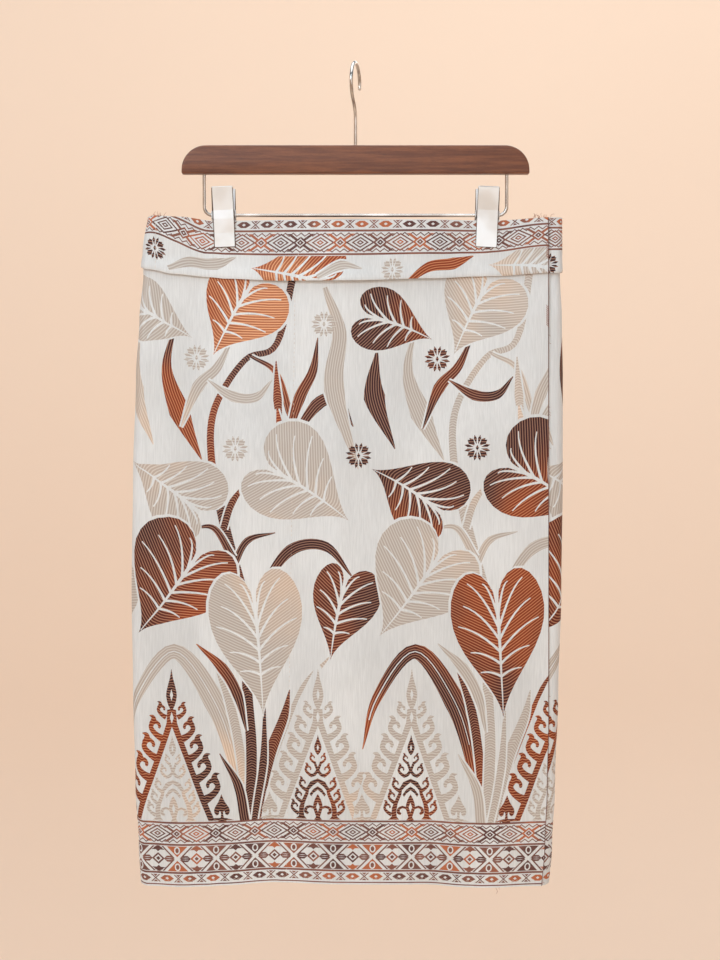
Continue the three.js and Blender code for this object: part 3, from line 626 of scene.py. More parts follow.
def field_repeat():
    """The leaves, blades and stems of one repeat, drawn from x = 0, in the order in which they lie."""
    f = []
    # silver blades and stems that rise from the bands, behind the copper ones
    f += blade([(4, -700), (18, -648), (57, -600), (98, -650), (119, -712), (128, -774)], [1, 10, 15, 22, 15, 9],
               "silver", 0.75, slit=1.4)
    f += blade([(130, -774), (126, -716), (116, -660), (100, -616)], [8, 9, 9, 2], "silver", 0.6, stem=True)
    f += blade([(145, -774), (160, -716), (190, -640), (216, -606)], [7, 9, 9, 1.5], "silver", 0.7, stem=True)
    f += blade([(134, -774), (136, -700), (132, -622), (142, -560)], [10, 11, 10, 6], "copper", 0.35, stem=True)
    f += blade([(141, -774), (152, -716), (170, -668), (176, -640)], [9, 13, 9, 1], "copper", 0.6, stem=True)
    f += blade([(138, -774), (148, -716), (150, -656)], [6, 8, 2], "copper", 0.3, stem=True)
    f += blade([(128, -774), (122, -738), (103, -704)], [10, 9, 1], "copper", 0.25)
    f += blade([(131, -682), (122, -644), (106, -616), (80, -592)], [1.5, 10, 11, 1], "copper", 0.4)
    # the main stem with its side shoots
    f += blade([(130, -550), (108, -470), (94, -404), (96, -350), (126, -300), (158, -282), (174, -203)],
               [12, 10, 7.5, 7, 6, 6.5, 8], "copper", 0.25, stem=True)
    f += blade([(107, -474), (116, -446), (136, -420)], [7, 7, 1], "copper", 0.3, stem=True)
    f += blade([(118, -512), (132, -486), (160, -478)], [7, 7, 1], "copper", 0.3)
    f += blade([(117, -504), (98, -474), (76, -474)], [8, 6, 1], "copper", 0.3)
    f += blade([(132, -296), (158, -312), (172, -352), (178, -372)], [3, 6, 7, 1], "copper", 0.3)
    f += blade([(168, -392), (182, -340), (196, -310), (200, -276)], [2, 12, 9, 1], "copper", 0.35)
    f += blade([(166, -394), (160, -340), (158, -300)], [2, 9, 1], "copper", 0.25, stem=True)
    f += blade([(166, -398), (200, -346), (222, -342), (238, -368)], [2, 13, 12, 1], "copper", 0.3)
    f += blade([(172, -440), (170, -410), (164, -374), (160, -350)], [9, 9, 9, 2], "copper", 0.6, stem=True)
    # loose blades
    f += blade([(54, -262), (46, -312), (60, -356), (84, -404)], [1, 10, 22, 1], "copper", 0.4)
    f += blade([(14, -290), (12, -338), (34, -392)], [2, 22, 1], "silver", 0.5)
    f += blade([(114, -272), (98, -308), (78, -330), (62, -372)], [1, 9, 12, 1], "silver", 0.4)
    f += blade([(88, -322), (114, -338), (138, -338), (154, -320)], [1, 11, 9, 1], "silver", 0.4)
    f += blade([(146, -536), (176, -496), (212, -492), (240, -524)], [6, 12, 10, 1], "copper", 0.3)
    f += blade([(206, -224), (222, -270), (218, -330), (244, -412)], [5, 14, 21, 1], "silver", 0.5)
    # leaves
    # this leaf is given strong painted sheen: a painted highlight where it is copper, dull where it is silver
    f += leaf(112, -252, 96, 92, -30, "copper", bend=10, lean=0.1, veins=6, glow=1.6)
    f += leaf(32, -262, 84, 66, 74, "silver", bend=-12, veins=6, glow=0.3)
    f += leaf(54, -436, 98, 88, -128, "silver", bend=14, lean=-0.08, glow=0.5)
    f += leaf(188, -430, 116, 104, 62, "silver", bend=-16, lean=0.12, glow=0.4)
    f += leaf(58, -536, 122, 112, -34, "copper", bend=-8, lean=-0.1, glow=0.45)
    f += leaf(224, -560, 98, 70, -14, "copper", bend=10, lean=0.15, veins=6, glow=0.5)
    f += leaf(144, -592, 150, 96, 6, "silver", bend=-6, glow=0.6)
    for x, z in ((76, -300), (206, -262), (-3, -398), (118, -392)):
        f += star(x, z, "silver")
    return f


def repeats(x0, x1):
    """The numbers of the repeats between two places, and of the one before, which reaches into them."""
    return range(int(math.floor(x0 / REPEAT)) - 1, int(math.ceil(x1 / REPEAT)) + 1)


def panel_chart(x0, x1):
    """The chart of the panels between two places: field, triangles and bands."""
    figures, field = [], field_repeat()
    for k in repeats(x0, x1):
        figures += swapped(field, k * REPEAT + FIELD_SHIFT, k % 2 == 0)
    pair = shoot_triangle(-36, "silver", "copper") + shoot_triangle(60, "silver", "copper")
    for k in repeats(x0, x1):
        figures += swapped(pair, k * REPEAT, k % 2 == 1)
    return figures + bands(HEM_ROWS, x0, x1)


def tuck_chart(x0, x1):
    """The chart of the tuck: its own stretch of the field, and the band along the waist."""
    # this leaf is given strong painted sheen: a painted highlight where it is copper, dull where it is silver
    f = leaf(176, -212, 96, 92, -104, "copper", bend=10, lean=0.1, glow=1.55)
    f += blade([(42, -222), (66, -206), (92, -203), (112, -196)], [4, 10, 12, 1], "silver", 0.7)
    f += blade([(198, -214), (222, -203), (244, -206)], [5, 9, 1], "silver", 0.7)
    f += star(28, -208, "copper", 12)
    figures = []
    for k in repeats(x0, x1):
        figures += swapped(f, k * REPEAT + FIELD_SHIFT, k % 2 == 0)
    low, high = WAIST_GROUND
    figures.append(motif([(x0, low), (x1, low), (x1, high), (x0, high)], "satin"))
    return figures + bands(WAIST_ROWS, x0, x1)


def lifted(figures, left, right):
    """The figures with the ends of their band lifted, as a tuck that was folded askew lifts them."""
    bends = [*range(-312, -156, 6), *range(118, 192, 6)]

    def lift(x):
        return left * smooth(158, 222, -x) * smooth(-310, -240, x) + right * smooth(120, 190, x)

    def rise(p):
        return np.stack([0 * p[:, 0], lift(p[:, 0])], axis=1)

    def raised(f):
        outline = []
        for a, b in zip(f["outline"], np.roll(f["outline"], -1, axis=0)):
            crossed = [x for x in bends if (x - a[0]) * (x - b[0]) < 0] if abs(b[0] - a[0]) > 20 else []
            outline += [mix(a, b, t) for t in [0, *sorted((x - a[0]) / (b[0] - a[0]) for x in crossed)]]
        outline = np.array(outline)
        return {**f, "outline": outline + rise(outline), "rows": lambda p: f["rows"](p - rise(p))}

    return [raised(f) for f in figures]


def edge_line(edge, rows):
    """An edge that runs up the cloth, on the chart."""
    return chart_of(edge(rows), rows)


def edge_binding(edge, rows):
    """The narrow turned edge along the front panel's free side."""
    line = edge_line(edge, rows)
    return [motif(np.concatenate([line + [0.5, 0], (line - [0.7, 0])[::-1]]), "mixed", glow=0.2)]


# ---- Weaving the chart into the cloth ----

WEFTS = ["satin", "copper", "silver", "mixed"]
FOLD_SPANS = [(CHART_X[4], CHART_X[2]), (CHART_X[7], CHART_X[5])]
DIVIDE = {"step": 4.6, "fold_step": 2.0, "fold_stop": 1.9, "short": 8}  # how finely outlines are divided


def inside(points, outline):
    """Which points lie within an outline, by its winding round them."""
    start, end = outline, np.roll(outline, -1, axis=0)
    x, y = points[:, 0, None], points[:, 1, None]
    left = (end[:, 0] - start[:, 0]) * (y - start[:, 1]) - (x - start[:, 0]) * (end[:, 1] - start[:, 1])
    up = (start[:, 1] <= y) & (end[:, 1] > y) & (left > 0)
    down = (start[:, 1] > y) & (end[:, 1] <= y) & (left < 0)
    return (up.sum(1) - down.sum(1)) != 0


def divided(outline):
    """An outline with its long sides divided, so that the cloth can bend along them."""
    points = []
    for a, b in zip(outline, np.roll(outline, -1, axis=0)):
        low, high = min(a[0], b[0]), max(a[0], b[0])
        short = high - low < DIVIDE["short"]
        on_fold = any(high > left and low < right for left, right in FOLD_SPANS)
        step = DIVIDE["fold_step"] if short and on_fold else DIVIDE["step"]
        stops = [*np.linspace(0, 1, int(math.ceil(max(np.hypot(*(b - a)), 1e-6) / step)) + 1)[:-1]]
        if not short:
            crossed = [x for span in FOLD_SPANS for x in np.arange(*span, DIVIDE["fold_stop"]) if low < x < high]
            stops += [(x - a[0]) / (b[0] - a[0]) for x in crossed]
        points += [mix(a, b, t) for t in sorted(stops)]
    return np.array(points)


def weave(domain, figures, grid):
    """Cuts the chart within a domain into triangles. Gives the points, the triangles, for each the number of the
    last figure that it lies in (or -1), and the figures."""
    domain = divided(domain)
    low, high = domain.min(0), domain.max(0)
    kept = [f for f in figures if (f["outline"].max(0) > low).all() and (f["outline"].min(0) < high).all()]
    points, edges, total = [], [], 0
    for outline in (domain, *(divided(f["outline"]) for f in kept)):
        n = len(outline)
        points.append(outline)
        edges += [(total + i, total + (i + 1) % n) for i in range(n)]
        total += n
    points.append(grid[inside(grid, domain)])
    flat = [Vector(p) for p in np.concatenate(points).tolist()]
    verts, _, faces, *_ = delaunay_2d_cdt(flat, edges, [], 0, 0.02, False)
    verts, faces = np.array([v[:] for v in verts]), np.array(faces)
    middles = verts[faces].mean(1)
    keep = inside_many(middles, domain)
    faces, middles = faces[keep], middles[keep]
    order = np.argsort(middles[:, 0])
    ranked = middles[order]
    owner = np.full(len(faces), -1)
    for number, f in enumerate(kept):
        (left, foot), (right, head) = f["outline"].min(0), f["outline"].max(0)
        first, last = np.searchsorted(ranked[:, 0], [left, right])
        near = order[first:last]
        near = near[(middles[near, 1] > foot) & (middles[near, 1] < head)]
        if len(near):
            owner[near[inside(middles[near], f["outline"])]] = number
    used, faces_again = np.unique(faces, return_inverse=True)
    return verts[used], faces_again.reshape(faces.shape), owner, kept


def inside_many(points, outline, block=20000):
    """The same test for more points than fit in memory at once."""
    return np.concatenate([inside(points[i:i + block], outline) for i in range(0, len(points), block)])


def placed(name, mesh):
    """A new piece of a mesh, alone selected."""
    piece = bpy.data.objects.new(name, mesh)
    bpy.context.collection.objects.link(piece)
    bpy.ops.object.select_all(action="DESELECT")
    piece.select_set(True)
    bpy.context.view_layer.objects.active = piece
    return piece


def cloth_piece(name, domain, figures, grid, outer, inner):
    """A closed ply of cloth: the woven face outside, the plain reverse inside and a rim between them."""
    points, faces, owner, kept = weave(domain, figures, grid)
    wrap, row = place_of(points)
    front, back = outer(wrap, row), inner(wrap, row)
    count = len(points)
    a, b, c = (front[faces[:, i]] for i in range(3))
    facing = np.cross(b - a, c - a)
    nx, ny = tube_normal(wrap[faces[:, 0]], row_height(wrap[faces[:, 0]], row[faces[:, 0]]))
    if np.median(facing[:, 0] * nx + facing[:, 1] * ny) < 0:
        faces = faces[:, ::-1]
    sides = np.concatenate([faces[:, [0, 1]], faces[:, [1, 2]], faces[:, [2, 0]]])
    key = np.sort(sides, axis=1)
    _, first, counts = np.unique(key[:, 0] * count + key[:, 1], return_index=True, return_counts=True)
    rim = sides[first[counts == 1]]
    polygons = [*faces.tolist(), *(faces[:, ::-1] + count).tolist()]
    polygons += np.stack([rim[:, 1], rim[:, 0], rim[:, 0] + count, rim[:, 1] + count], axis=1).tolist()
    mesh = bpy.data.meshes.new(name)
    mesh.from_pydata((np.concatenate([front, back]) * MM).tolist(), [], polygons)
    for material in BROCADE:
        mesh.materials.append(material)
    # the satin also covers the triangles of no figure (-1), and the reverse comes after the wefts
    wefts = np.array([WEFTS.index(f["weft"]) for f in kept] + [WEFTS.index("satin")])
    index = np.full(len(polygons), len(WEFTS))
    index[:len(faces)] = wefts[owner]
    mesh.polygons.foreach_set("material_index", index)
    corners = np.empty(len(mesh.loops), int)
    mesh.loops.foreach_get("vertex_index", corners)
    flat = np.concatenate([points, points])
    weft_uv = flat[corners][:, ::-1].copy()
    # each corner's painted sheen for copper and silver figures, and tint for band figures, kept as an attribute for the
    # finishes
    glow = np.full(len(mesh.loops), 0.5)
    by_owner = np.argsort(owner, kind="stable")
    bounds = np.searchsorted(owner[by_owner], np.arange(len(kept) + 1))
    for number, f in enumerate(kept):
        if f["weft"] == "satin":
            continue
        mine = by_owner[bounds[number]:bounds[number + 1]]
        if len(mine):
            loops = (mine[:, None] * 3 + np.arange(3)).ravel()
            across, along = f["rows"](flat[corners[loops]])
            weft_uv[loops] = np.stack([across, along], axis=1)
            glow[loops] = f["glow"]
    mesh.uv_layers.new(name="weft").data.foreach_set("uv", (weft_uv * MM).ravel())
    mesh.attributes.new("glow", "FLOAT", "CORNER").data.foreach_set("value", glow)
    mesh.validate()
    piece = placed(name, mesh)
    bpy.ops.object.shade_smooth_by_angle(angle=SOFT_ANGLE)
    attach(piece, "root")
    return piece


def grid_points(columns, rows):
    """Points where columns and rows cross, every other row shifted by half a column."""
    x, z = np.meshgrid(columns, rows)
    x = x + np.where(np.arange(len(rows)) % 2, 0.25, -0.25)[:, None] * np.gradient(columns)[None, :]
    return np.stack([x.ravel(), z.ravel()], axis=1)


# ---- Shader maths ----

class Sock:
    """A socket in a material's nodes. Arithmetic on it adds Math nodes."""

    def __init__(self, paint, socket):
        self.paint, self.socket = paint, socket

    def maths(self, operation, *others):
        values = dict(enumerate((self, *others)))
        return self.paint.node("ShaderNodeMath", {"operation": operation}, values)[0]

    def __add__(self, other):
        return self.maths("ADD", other)

    def __sub__(self, other):
        return self.maths("SUBTRACT", other)

    def __mul__(self, other):
        return self.maths("MULTIPLY", other)

    def sine(self):
        return self.maths("SINE")

    def eased(self, low, high):
        """0 below low and 1 above high, with a smooth step between."""
        values = {"Value": self, "From Min": low, "From Max": high}
        return self.paint.node("ShaderNodeMapRange", {"interpolation_type": "SMOOTHSTEP"}, values)["Result"]


class Paint:
    """A material under construction, with its constant values set on the shader itself."""

    def __init__(self, name, **constants):
        self.material = bpy.data.materials.new(name)
        self.material.use_nodes = True
        self.tree = self.material.node_tree
        self.shader = self.tree.nodes["Principled BSDF"]
        for socket, value in constants.items():
            self.shader.inputs[socket.replace("_", " ")].default_value = value

    def node(self, kind, settings=None, values=None):
        """Any node: its settings first, then the values or links of its sockets. Its outputs go by name and number."""
        made = self.tree.nodes.new(kind)
        for setting, value in (settings or {}).items():
            setattr(made, setting, value)
        for socket, value in (values or {}).items():
            self.set(made.inputs[socket], value)
        found = {output.name: Sock(self, output) for output in made.outputs}
        return {**found, **{i: Sock(self, output) for i, output in enumerate(made.outputs)}}

    def set(self, target, value):
        if isinstance(value, Sock):
            self.tree.links.new(value.socket, target)
        else:
            target.default_value = value

    def mix(self, share, a, b):
        """A colour between two others."""
        return self.node("ShaderNodeMix", {"data_type": "RGBA"}, {0: share, 6: a, 7: b})[2]

    def noise(self, scale, detail=2.0, at=None, roughness=0.5):
        """Noise of 0 to 1, so many patches to the metre."""
        values = {"Vector": at or self.place(), "Scale": scale, "Detail": detail, "Roughness": roughness}
        return self.node("ShaderNodeTexNoise", {}, values)[0]

    def place(self, scale=(1, 1, 1)):
        """The piece's own coordinates in metres, stretched by a scale."""
        at = self.node("ShaderNodeTexCoord")["Object"]
        return self.node("ShaderNodeMapping", {"vector_type": "POINT"}, {"Vector": at, "Scale": scale})["Vector"]

    def bump(self, height, distance, strength):
        values = {"Height": height, "Distance": distance, "Strength": strength}
        self.set(self.shader.inputs["Normal"], self.node("ShaderNodeBump", {}, values)["Normal"])

    def surface(self, **values):
        for socket, value in values.items():
            self.set(self.shader.inputs[socket.replace("_", " ")], value)
        return self.material


def rgb(red, green, blue):
    """A colour from its screen values of 0 to 255."""
    def linear(value):
        value /= 255
        return value / 12.92 if value <= 0.04045 else ((value + 0.055) / 1.055) ** 2.4
    return (linear(red), linear(green), linear(blue), 1.0)


# ---- Finishes of the cloth ----

def weft_places(paint):
    """Millimetres across the weft rows and along them, from the piece's own map."""
    split = paint.node("ShaderNodeSeparateXYZ", {}, {0: paint.node("ShaderNodeUVMap", {"uv_map": "weft"})[0]})
    return split["X"] * 1000, split["Y"] * 1000


def satin_ground():
    """Off-white satin with its fine upright twill and a soft uneven sheen painted into its colour."""
    paint = Paint("ivory satin", Sheen_Weight=0.25, Sheen_Roughness=0.4, Specular_IOR_Level=0.55)
    across, along = weft_places(paint)
    twill = (along * (2 * math.pi / 0.82) + across * 0.35).sine()
    cloud = paint.noise(14, 3, paint.place((1, 1, 0.45)))
    slub = paint.noise(900, 2, paint.place((1, 1, 0.06)))
    # colour: real twill and slub texture, with soft cloud patches of painted sheen, lighter and darker
    share = twill * 0.10 + cloud * 0.55 + slub * 0.35
    colour = paint.mix(share.eased(0.2, 0.75), rgb(201, 202, 202), rgb(236, 237, 237))
    paint.bump(twill + slub * 1.5, 0.00006, 0.5)
    return paint.surface(Base_Color=colour, Roughness=cloud * 0.16 + 0.34)


def weft_rows(paint, pitch, low, high):
    """Rows of weft, 0 on the sunk rows and 1 on the raised ones, and the threads along them."""
    across, along = weft_places(paint)
    wander = paint.noise(70, 2)
    rows = ((across + wander * 0.9) * (2 * math.pi / pitch)).sine().eased(low, high)
    return rows, (along * (2 * math.pi / 0.7)).sine()


def painted_sheen_patches(paint, offset, low, high):
    """Large soft patches of painted sheen, where the metallic weft's colour is painted as if it caught the light,
    stronger on figures given more painted sheen.
    """
    glow = paint.node("ShaderNodeAttribute", {"attribute_name": "glow"})["Fac"]
    values = {"Vector": paint.place((1, 1, 0.7)), "Location": (offset, offset, offset)}
    at = paint.node("ShaderNodeMapping", {}, values)[0]
    return (paint.noise(9.5, 2, at) * 1.5 + glow * 0.5 - 0.5).eased(low, high)


def copper_weft():
    """Bundles of metallic weft: thin copper rows between dark plum ones, with painted sheen that turns them to bright
    copper in soft patches, and a painted highlight of pale copper where a figure is given strong sheen."""
    paint = Paint("copper weft", Specular_IOR_Level=0.3)
    rows, threads = weft_rows(paint, 2.7, -0.05, 1.0)
    # painted sheen: soft patches where the copper is painted brighter and more orange, as if it caught the light
    bright = painted_sheen_patches(paint, 0.31, 0.36, 0.78)
    # painted highlight: pale copper on figures given strong sheen
    painted_highlight = painted_sheen_patches(paint, 0.9, 0.8, 1.2)
    # both row colours carry the painted sheen and the painted highlight
    dark = paint.mix(painted_highlight, paint.mix(bright, rgb(48, 17, 21), rgb(140, 56, 28)), rgb(176, 104, 66))
    light = paint.mix(painted_highlight, paint.mix(bright, rgb(158, 116, 96), rgb(208, 136, 92)), rgb(236, 178, 134))
    colour = paint.mix(rows, dark, light)
    colour = paint.mix(threads * 0.08 + 0.08, colour, rgb(78, 38, 34))
    paint.bump(rows * -0.6 + threads * 0.2, 0.00018, 0.6)
    return paint.surface(Base_Color=colour, Roughness=bright * -0.08 + 0.44, Metallic=bright * 0.2 + 0.1)


def silver_weft():
    """The same bundles in pale silver, with soft patches of painted peach sheen, a painted warm reflection."""
    paint = Paint("silver weft", Sheen_Weight=0.12, Specular_IOR_Level=0.55)
    rows, threads = weft_rows(paint, 2.7, -0.3, 0.9)
    # painted reflection: soft patches where the silver is painted peach, as if it caught warm light
    bright = painted_sheen_patches(paint, 0.57, 0.5, 0.95)
    dark = paint.mix(bright, rgb(178, 165, 155), rgb(210, 181, 157))
    light = paint.mix(bright, rgb(204, 198, 191), rgb(233, 211, 191))
    colour = paint.mix(rows, dark, light)
    paint.bump(rows * -0.6 + threads * 0.2, 0.00018, 0.5)
    return paint.surface(Base_Color=colour, Roughness=bright * -0.06 + 0.42, Metallic=bright * 0.1 + 0.08)


def mixed_weft():
    """The bands' weft, dark plum, grey and copper in turn, by each figure's own tint."""
    paint = Paint("banded weft", Specular_IOR_Level=0.3)
    # here each figure's value is its own tint only, with no painted sheen
    glow = paint.node("ShaderNodeAttribute", {"attribute_name": "glow"})["Fac"]
    rows, threads = weft_rows(paint, 1.4, -0.4, 0.9)
    tint = glow + paint.noise(38, 2) * 0.9 - 0.45
    deep = paint.mix(tint.eased(0.05, 0.5), rgb(76, 35, 38), rgb(122, 72, 60))
    colour = paint.mix(tint.eased(0.45, 0.8), deep, rgb(178, 94, 54))
    colour = paint.mix(rows * 0.18, colour, rgb(214, 180, 158))
    paint.bump(rows + threads * 0.3, 0.00012, 0.5)
    return paint.surface(Base_Color=colour, Roughness=0.45, Metallic=0.1)


def cloth_reverse():
    """The reverse of the brocade: dull, with the weft's long floats showing as faint streaks."""
    paint = Paint("brocade reverse", Specular_IOR_Level=0.3)
    streaks = paint.noise(420, 3, paint.place((0.05, 0.05, 1)))
    cloud = paint.noise(16, 2)
    colour = paint.mix((streaks * 0.7 + cloud * 0.5).eased(0.4, 0.85), rgb(206, 192, 178), rgb(160, 112, 92))
    paint.bump(streaks, 0.0001, 0.6)
    return paint.surface(Base_Color=colour, Roughness=0.62)


# ---- The pieces of cloth ----

BROCADE = [satin_ground(), copper_weft(), silver_weft(), mixed_weft(), cloth_reverse()]
PLY = CLOTH["ply"]
WALL = CLOTH["wall"]
ROWS = np.linspace(0, 2, 81)
PANEL_ROWS = np.concatenate([np.arange(-837, -217, 4.6), np.arange(-215, -161, 4.2)])
SOFT_ANGLE = math.radians(50)
PLAIN = {"panel": -735.0, "tuck": -740, "tuck_chart": -730}  # chart places beyond which nothing shows


def side_columns(reach):
    """Columns of grid points between two places, closer together round the side folds."""
    turns = [CHART_X[[1, 2]], CHART_X[[2, 4]], CHART_X[[4, 5]], CHART_X[[5, 7]], CHART_X[[7, 8]]]
    steps = [4.6, 2.0, 4.6, 2.0, 6.0]
    every = np.concatenate([np.arange(a - s / 2, b, -s) for (a, b), s in zip(turns, steps)])
    low, high = reach
    return np.sort(every[(every > low) & (every < high)])


def panel(name, first, last, covered, plain_beyond=None, nodes=(), trim=()):
    """One stretch of the panels between two edges; beyond a place that nothing shows, its chart is left plain."""
    start, end = edge_line(first, ROWS), edge_line(last, ROWS)
    domain = np.concatenate([start, end[::-1]])
    reach = domain[:, 0].min(), domain[:, 0].max()
    x0 = reach[0] if plain_beyond is None else plain_beyond
    figures = panel_chart(x0, reach[1]) + list(trim)
    if plain_beyond is not None:
        figures = [f for f in figures if f["outline"][:, 0].min() > plain_beyond]
    grid = grid_points(side_columns(reach), PANEL_ROWS)

    def outer(wrap, row):
        return cloth_point(wrap, row, covered(wrap, row) + relief(wrap, row))

    def inner(wrap, row):
        return cloth_point(wrap, row, covered(wrap, row) + relief(wrap, row) - WALL)

    piece = cloth_piece(name, domain, figures, grid, outer, inner)
    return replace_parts(piece, *nodes)


def on_tube(wrap, row):
    """No cover: the stretch lies on the tube itself."""
    return np.zeros_like(wrap)


def at_wrap(number, gap=0.0):
    """An edge straight up the cloth, with a gap in millimetres to its neighbour."""
    return lambda row: np.full_like(row, number) + gap / FLAT_WIDE


GAP = PARTING["gap"]
front_cloth = panel("front_cloth", free_edge, at_wrap(4.0, -GAP), cover, nodes=("front_panel", "left_side"),
                    trim=edge_binding(free_edge, ROWS))
back_cloth = panel("back_cloth", at_wrap(4.0), at_wrap(5.0, -GAP), on_tube, nodes=("back_panel",))
under_cloth = panel("under_cloth", at_wrap(5.0), stitch_row, on_tube, plain_beyond=PLAIN["panel"],
                    nodes=("right_side", "under_wrap"))


def tuck_shape(wrap, row):
    """How far the tuck's outer face stands from the tube, and its thickness."""
    x, _ = tube_point(wrap, row_height(wrap, row))
    shows = smooth(-7.12, -7.0, -wrap)
    away = (row - 1 - TUCK["swell_at"]) / TUCK["swell_reach"]
    edge = smooth(-1.025, -1.0, -row) * TUCK["edge"] * shows
    swell = TUCK["swell"] * np.exp(-away * away) * shows
    stand = eased(TUCK_STANDS, "across", x, "by") * np.clip(2 - row, 0, 1) ** 3 * shows
    return cover(wrap, row) + PLY + stand + swell - edge, WALL + swell - 2 * edge


def tuck_outer(wrap, row):
    out, _ = tuck_shape(wrap, row)
    return cloth_point(wrap, row, out + relief(wrap, row))


def tuck_inner(wrap, row):
    out, wall = tuck_shape(wrap, row)
    return cloth_point(wrap, row, out + relief(wrap, row) - wall)


TUCK_FOLD_ROWS = CHART["tuck"] + np.array([0.35, 1.0, 2.0, 3.2, 4.8, 7.2, 10.0])
TUCK_GRID_ROWS = np.concatenate([TUCK_FOLD_ROWS, np.arange(-203, -161, 4.0)])


def tuck_cloth():
    rows = np.linspace(1, 2, 41)
    start, end = edge_line(free_edge, rows), edge_line(stitch_row, rows)
    domain = np.concatenate([start, end[::-1]])
    figures = tuck_chart(PLAIN["tuck_chart"], domain[:, 0].max())
    figures = [f for f in figures if f["outline"][:, 0].max() > PLAIN["tuck"]]
    figures = lifted(figures, 15, 4) + edge_binding(free_edge, rows)
    grid = grid_points(side_columns((domain[:, 0].min(), domain[:, 0].max())), TUCK_GRID_ROWS)
    piece = cloth_piece("waist_tuck", domain, figures, grid, tuck_outer, tuck_inner)
    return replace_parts(piece, "waist_tuck_front", "waist_tuck_back", "waist_tuck_under")


waist_tuck = tuck_cloth()


# ---- Threads: stitch rows, tacks and frayed ends ----

def thread_mesh(name, paths, radius, material, sides=5):
    """Thin closed tubes along paths in millimetres, all in one piece."""
    points, faces = [], []
    for path in paths:
        path = np.asarray(path, float)
        along = np.gradient(path, axis=0)
        along /= np.linalg.norm(along, axis=1, keepdims=True)
        side = np.cross(along, np.where(np.abs(along[:, 1:2]) > 0.9, [[1.0, 0, 0]], [[0, 1.0, 0]]))
        side /= np.linalg.norm(side, axis=1, keepdims=True)
        up = np.cross(side, along)
        first, n = len(points), len(path)
        for i in range(n):
            thin = 0.55 if i in (0, n - 1) else 1.0
            for k in range(sides):
                turn = 2 * math.pi * k / sides
                points.append((path[i] + radius * thin * (math.cos(turn) * side[i] + math.sin(turn) * up[i])) * MM)
        for i in range(n - 1):
            for k in range(sides):
                a, b = first + i * sides + k, first + i * sides + (k + 1) % sides
                faces.append((a, b, b + sides, a + sides))
        faces.append([first + k for k in range(sides)][::-1])
        faces.append([first + (n - 1) * sides + k for k in range(sides)])
    mesh = bpy.data.meshes.new(name)
    mesh.from_pydata([tuple(p) for p in points], [], faces)
    mesh.materials.append(material)
    piece = placed(name, mesh)
    bpy.ops.object.mode_set(mode="EDIT")
    bpy.ops.mesh.select_all(action="SELECT")
    bpy.ops.mesh.normals_make_consistent(inside=False)
    bpy.ops.object.mode_set(mode="OBJECT")
    bpy.ops.object.shade_smooth_by_angle(angle=SOFT_ANGLE)
    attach(piece, "root")
    return piece


def thread_paint(name, tone, other):
    """Twisted thread of two tones."""
    paint = Paint(name, Specular_IOR_Level=0.4)
    twist = paint.noise(1600, 2)
    paint.bump(twist, 0.00005, 0.5)
    return paint.surface(Base_Color=paint.mix(twist, tone, other), Roughness=0.5)


def on_cloth(wraps, rows, lift, tuck=False):
    """Points a little off the cloth's outer face."""
    wraps, rows = np.asarray(wraps, float), np.asarray(rows, float)
    out = tuck_shape(wraps, rows)[0] if tuck else cover(wraps, rows)
    return cloth_point(wraps, rows, out + relief(wraps, rows) + lift)


STITCH = np.array([0, 0.35, 0.65, 1])  # where a stitch turns, as shares of its length


def stitches(wrap_of, rows, length, tuck=False):
    """Short stitches that dip in and out of the cloth along a line."""
    paths = []
    for row in rows:
        span = row + STITCH * length
        paths.append(on_cloth(wrap_of(span), span, np.array([-0.15, 0.22, 0.22, -0.15]), tuck))
    return paths


def seam_threads():
    """The row that holds the under wrap, on panel and tuck, the tuck's left end and the hem."""
    def tuck_end(row):
        return wrap_at(-204.5 + 0 * row, row)

    panel_row = stitches(seam_wrap, np.arange(0.012, 0.985, 0.0078), 0.0048)
    tuck_row = stitches(seam_wrap, np.arange(1.05, 1.95, 0.09), 0.055, True)
    left_row = stitches(tuck_end, np.arange(1.04, 1.96, 0.085), 0.055, True)
    hem_row = [on_cloth(wrap + STITCH * 0.0066, np.full(4, 0.0105), np.array([-0.12, 0.16, 0.16, -0.12]))
               for wrap in np.arange(1.02, 2.0, 0.0105)]
    return panel_row + tuck_row + left_row + hem_row


def edge_tacks():
    """Whipped stitches over the front panel's free edge."""
    paths = []
    for tuck, places in ((True, np.arange(1.27, 1.50, 0.036)), (False, np.arange(0.912, 0.944, 0.0034))):
        for row in places:
            rows = np.full(4, row) + np.array([0, 0.002, 0.004, 0.006]) * (8 if tuck else 1)
            wraps = free_edge(rows) + np.array([0.0, 0.0022, 0.0048, 0.0062])
            paths.append(on_cloth(wraps, rows, np.array([0.1, 0.35, 0.3, -0.2]), tuck))
    return paths


